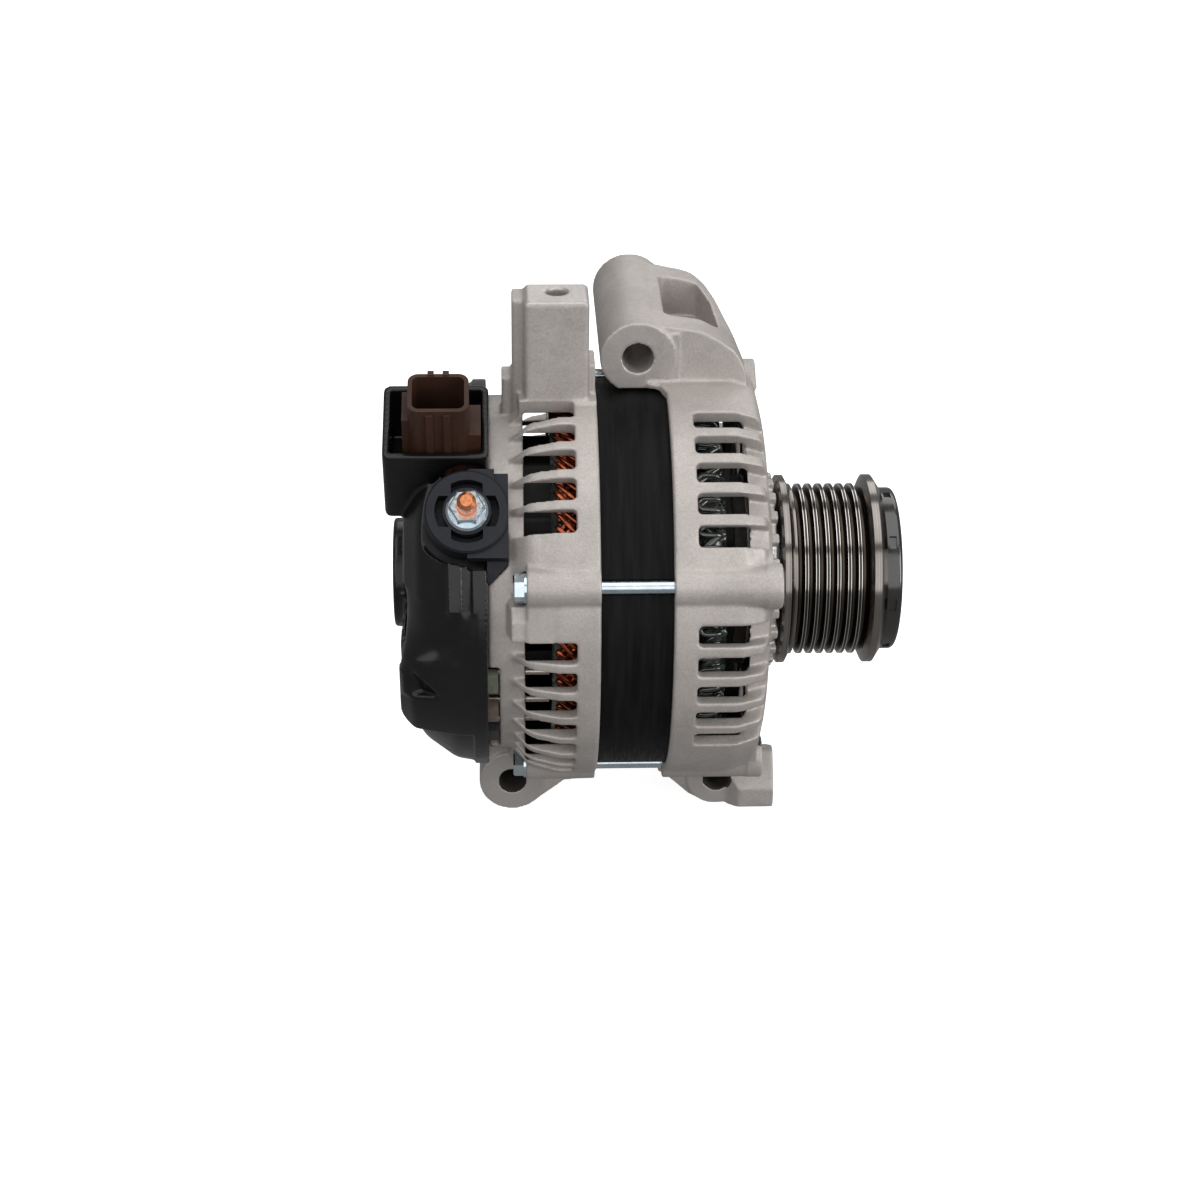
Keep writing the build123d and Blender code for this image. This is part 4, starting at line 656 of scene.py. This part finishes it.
def blended(mesh, chosen, rounds):
    """Smooths only the part of a mesh that chosen takes."""
    bm = bmesh.new()
    bm.from_mesh(mesh)
    verts = [v for v in bm.verts if chosen(v.co.x / MM + BELT, v.co.y / MM, v.co.z / MM)]
    for _ in range(rounds):
        bmesh.ops.smooth_vert(bm, verts=verts, factor=0.9, use_axis_x=True, use_axis_y=True,
                              use_axis_z=True)
    bm.to_mesh(mesh)
    bm.free()


def raise_scoop_floor(mesh):
    """Makes the hollow in the cover's side shallower, towards the plane over its corners."""
    depth_kept = 0.3
    edge_kept = 0.5
    for v in mesh.vertices:
        x, y, z = v.co.x / MM + BELT, v.co.y / MM, v.co.z / MM
        plane = -83.07 - 0.338 * x - 0.034 * z
        start = plane + edge_kept
        if -75 < x < -61 and -15.6 < z < -1 and start < y < -42:
            v.co.y = (start + (y - start) * depth_kept) * MM


def rear_cover():
    """The moulding, with the bump and the scoop in its side running softly into the drum."""
    mesh = softened("rear_cover", 0.45, 7, 1.0)
    raise_scoop_floor(mesh)

    def in_scoop(x, y, z):
        return x < -60 and y < -42 and -19 < z < -1

    def in_bump(x, y, z):
        return x < -50 and y < -20 and -7 < z < 17

    blended(mesh, in_scoop, 8)
    blended(mesh, in_bump, 200)
    mesh.materials.append(SLOT_MATERIALS["cover_plastic"])
    new_object("rear_cover_moulding", mesh, "housing", ["rear_cover"])


# ------------------------------------------------------------------ the stator winding

def tube(bm, points, normals, half_w, half_t, slot):
    """Sweeps a rounded bar along points. normals point out of the shaft at each point."""
    squareness = 0.62
    rings = []
    count = len(points)
    for i, point in enumerate(points):
        ahead = points[min(i + 1, count - 1)] - points[max(i - 1, 0)]
        ahead.normalize()
        out = normals[i] - ahead * normals[i].dot(ahead)
        out.normalize()
        across = ahead.cross(out)
        ring = []
        for k in range(BAR_SIDES):
            t = 2 * math.pi * (k + 0.5) / BAR_SIDES
            c, s = math.cos(t), math.sin(t)
            w = math.copysign(abs(c) ** squareness, c) * half_w
            h = math.copysign(abs(s) ** squareness, s) * half_t
            ring.append(bm.verts.new(point + across * w + out * h))
        rings.append(ring)
    for a, b in zip(rings, rings[1:]):
        for k in range(BAR_SIDES):
            after = (k + 1) % BAR_SIDES
            face = bm.faces.new((a[k], a[after], b[after], b[k]))
            face.smooth = True
            face.material_index = slot
    for ring, order in ((rings[0], -1), (rings[-1], 1)):
        face = bm.faces.new(ring[::order])
        face.material_index = slot


def polar(x, radius, angle):
    """Point and outward normal at a stator X in millimetres and an angle in degrees."""
    t = math.radians(angle)
    out = Vector((0, -math.cos(t), math.sin(t)))
    return Vector((at_x(x), 0, 0)) + out * radius * MM, out


def add_path(bm, stops, half_w, half_t, slot, steps=5):
    """A smooth bar through (x, radius, angle) stops, half_w by half_t millimetres from its axis."""
    path = []
    for a, b in zip(stops, stops[1:]):
        for i in range(steps):
            u = i / steps
            path.append(tuple(p + (q - p) * u for p, q in zip(a, b)))
    path.append(stops[-1])
    for _ in range(2):
        path = [path[0]] + [tuple((a[k] + 2 * b[k] + c[k]) / 4 for k in range(3))
                            for a, b, c in zip(path, path[1:], path[2:])] + [path[-1]]
    made = [polar(*p) for p in path]
    tube(bm, [m[0] for m in made], [m[1] for m in made], half_w * MM, half_t * MM, slot)


def painted_shade_ring(bm, x0, x1, inner, outer):
    """Painted shade: a dark ring in the varnished wire's material with a lumpy outside, which
    closes the gaps behind the coil heads so that they show shade and not the backdrop.
    """
    rings = []
    for i in range(RING_STEPS):
        angle = i * 360.0 / RING_STEPS
        swell = 0.25 * math.sin(math.radians(angle * 24)) + random.uniform(-0.1, 0.1)
        corners = ((x0, inner), (x1, inner), (x1, outer + swell), (x0, outer + swell))
        rings.append([bm.verts.new(polar(x, radius, angle)[0]) for x, radius in corners])
    for a, b in zip(rings, rings[1:] + rings[:1]):
        for k in range(4):
            face = bm.faces.new((a[k], a[(k + 1) % 4], b[(k + 1) % 4], b[k]))
            face.smooth = True
            face.material_index = VARNISHED


def coil_bars(bm):
    """The bars of the stator's slots with their coil heads, varnished at the drive end."""
    for i in range(STATOR_SLOTS):
        angle = i * 360.0 / STATOR_SLOTS
        for k, radius in enumerate(LAYER_RADII):
            lean = 1 if k % 2 else -1
            flare = (radius - 56.5) * 0.12
            stops = [(-24.6, radius + flare, angle + lean * 9.0),
                     (-18.9, radius + flare * 0.4, angle + lean * 1.2),
                     (-16.0, radius, angle), (16.0, radius, angle),
                     (18.9, radius + flare * 0.5, angle + lean * 0.8),
                     (24.8, radius + flare, angle + lean * 6.4),
                     (28.2, radius + flare, angle + lean * 8.6)]
            jitter = random.uniform(-0.25, 0.25)
            stops = [(x + (jitter if abs(x) > 20 else 0), r, t) for x, r, t in stops]
            add_path(bm, stops[:3], 1.25, 0.85, COPPER)
            add_path(bm, stops[2:4], 1.25, 0.95, COPPER, 2)
            add_path(bm, stops[3:], 1.30, 0.90, VARNISHED)


def rear_strands(bm):
    """Two layers of crossing wire over the coil heads of the slip ring end."""
    for i in range(REAR_STRANDS):
        angle = i * 360.0 / REAR_STRANDS
        for radius, lean, x_end in ((61.7, 1, -25.2), (60.3, -1, -24.7)):
            wobble = random.uniform(-0.5, 0.5)
            stops = [(-18.3, radius - 0.4, angle),
                     (-20.5, radius, angle + lean * 1.4 + wobble * 0.3),
                     (x_end + wobble * 0.5, radius - 0.2, angle + lean * 6.4 + wobble)]
            add_path(bm, stops, 0.85, 0.80, COPPER, 4)


def drive_loops(bm):
    """Two loops of varnished wire at each slot of the drive end, one above the other."""
    for i in range(STATOR_SLOTS):
        angle = i * 360.0 / STATOR_SLOTS
        for radius, wide in ((62.0, 3.7), (60.0, 3.9)):
            wobble = random.uniform(-0.3, 0.3)
            start, end = angle + wobble * 0.5, angle + wide + wobble * 0.5
            stops = [(28.0, radius - 3.0, start + 0.4), (26.4, radius - 0.6, start),
                     (23.0, radius, start), (20.6 + wobble, radius, start + 0.2),
                     (19.4 + wobble, radius, (start + end) / 2),
                     (20.6 + wobble, radius, end - 0.2), (23.0, radius, end),
                     (26.4, radius - 0.6, end), (28.0, radius - 3.0, end - 0.4)]
            add_path(bm, stops, 0.80, 0.75, VARNISHED, 4)


def stator_winding():
    bm = bmesh.new()
    # dark rings of painted shade behind the coil heads at both ends
    painted_shade_ring(bm, 18.2, 28.8, 52.6, 58.6)
    painted_shade_ring(bm, -26.8, -18.2, 52.6, 58.4)
    coil_bars(bm)
    rear_strands(bm)
    drive_loops(bm)
    bmesh.ops.recalc_face_normals(bm, faces=bm.faces)
    mesh = bpy.data.meshes.new("winding")
    bm.to_mesh(mesh)
    bm.free()
    mesh.materials.append(SLOT_MATERIALS["enamelled_copper"])
    mesh.materials.append(varnished_wire())
    new_object("stator_winding_detailed", mesh, "housing", ["stator_winding"])


# ------------------------------------------------------------------ build

make_camera()
make_stage()
dress_cad_nodes()
bevel_cad_nodes()
drive_bracket()
rear_bracket()
rear_cover()
stator_winding()
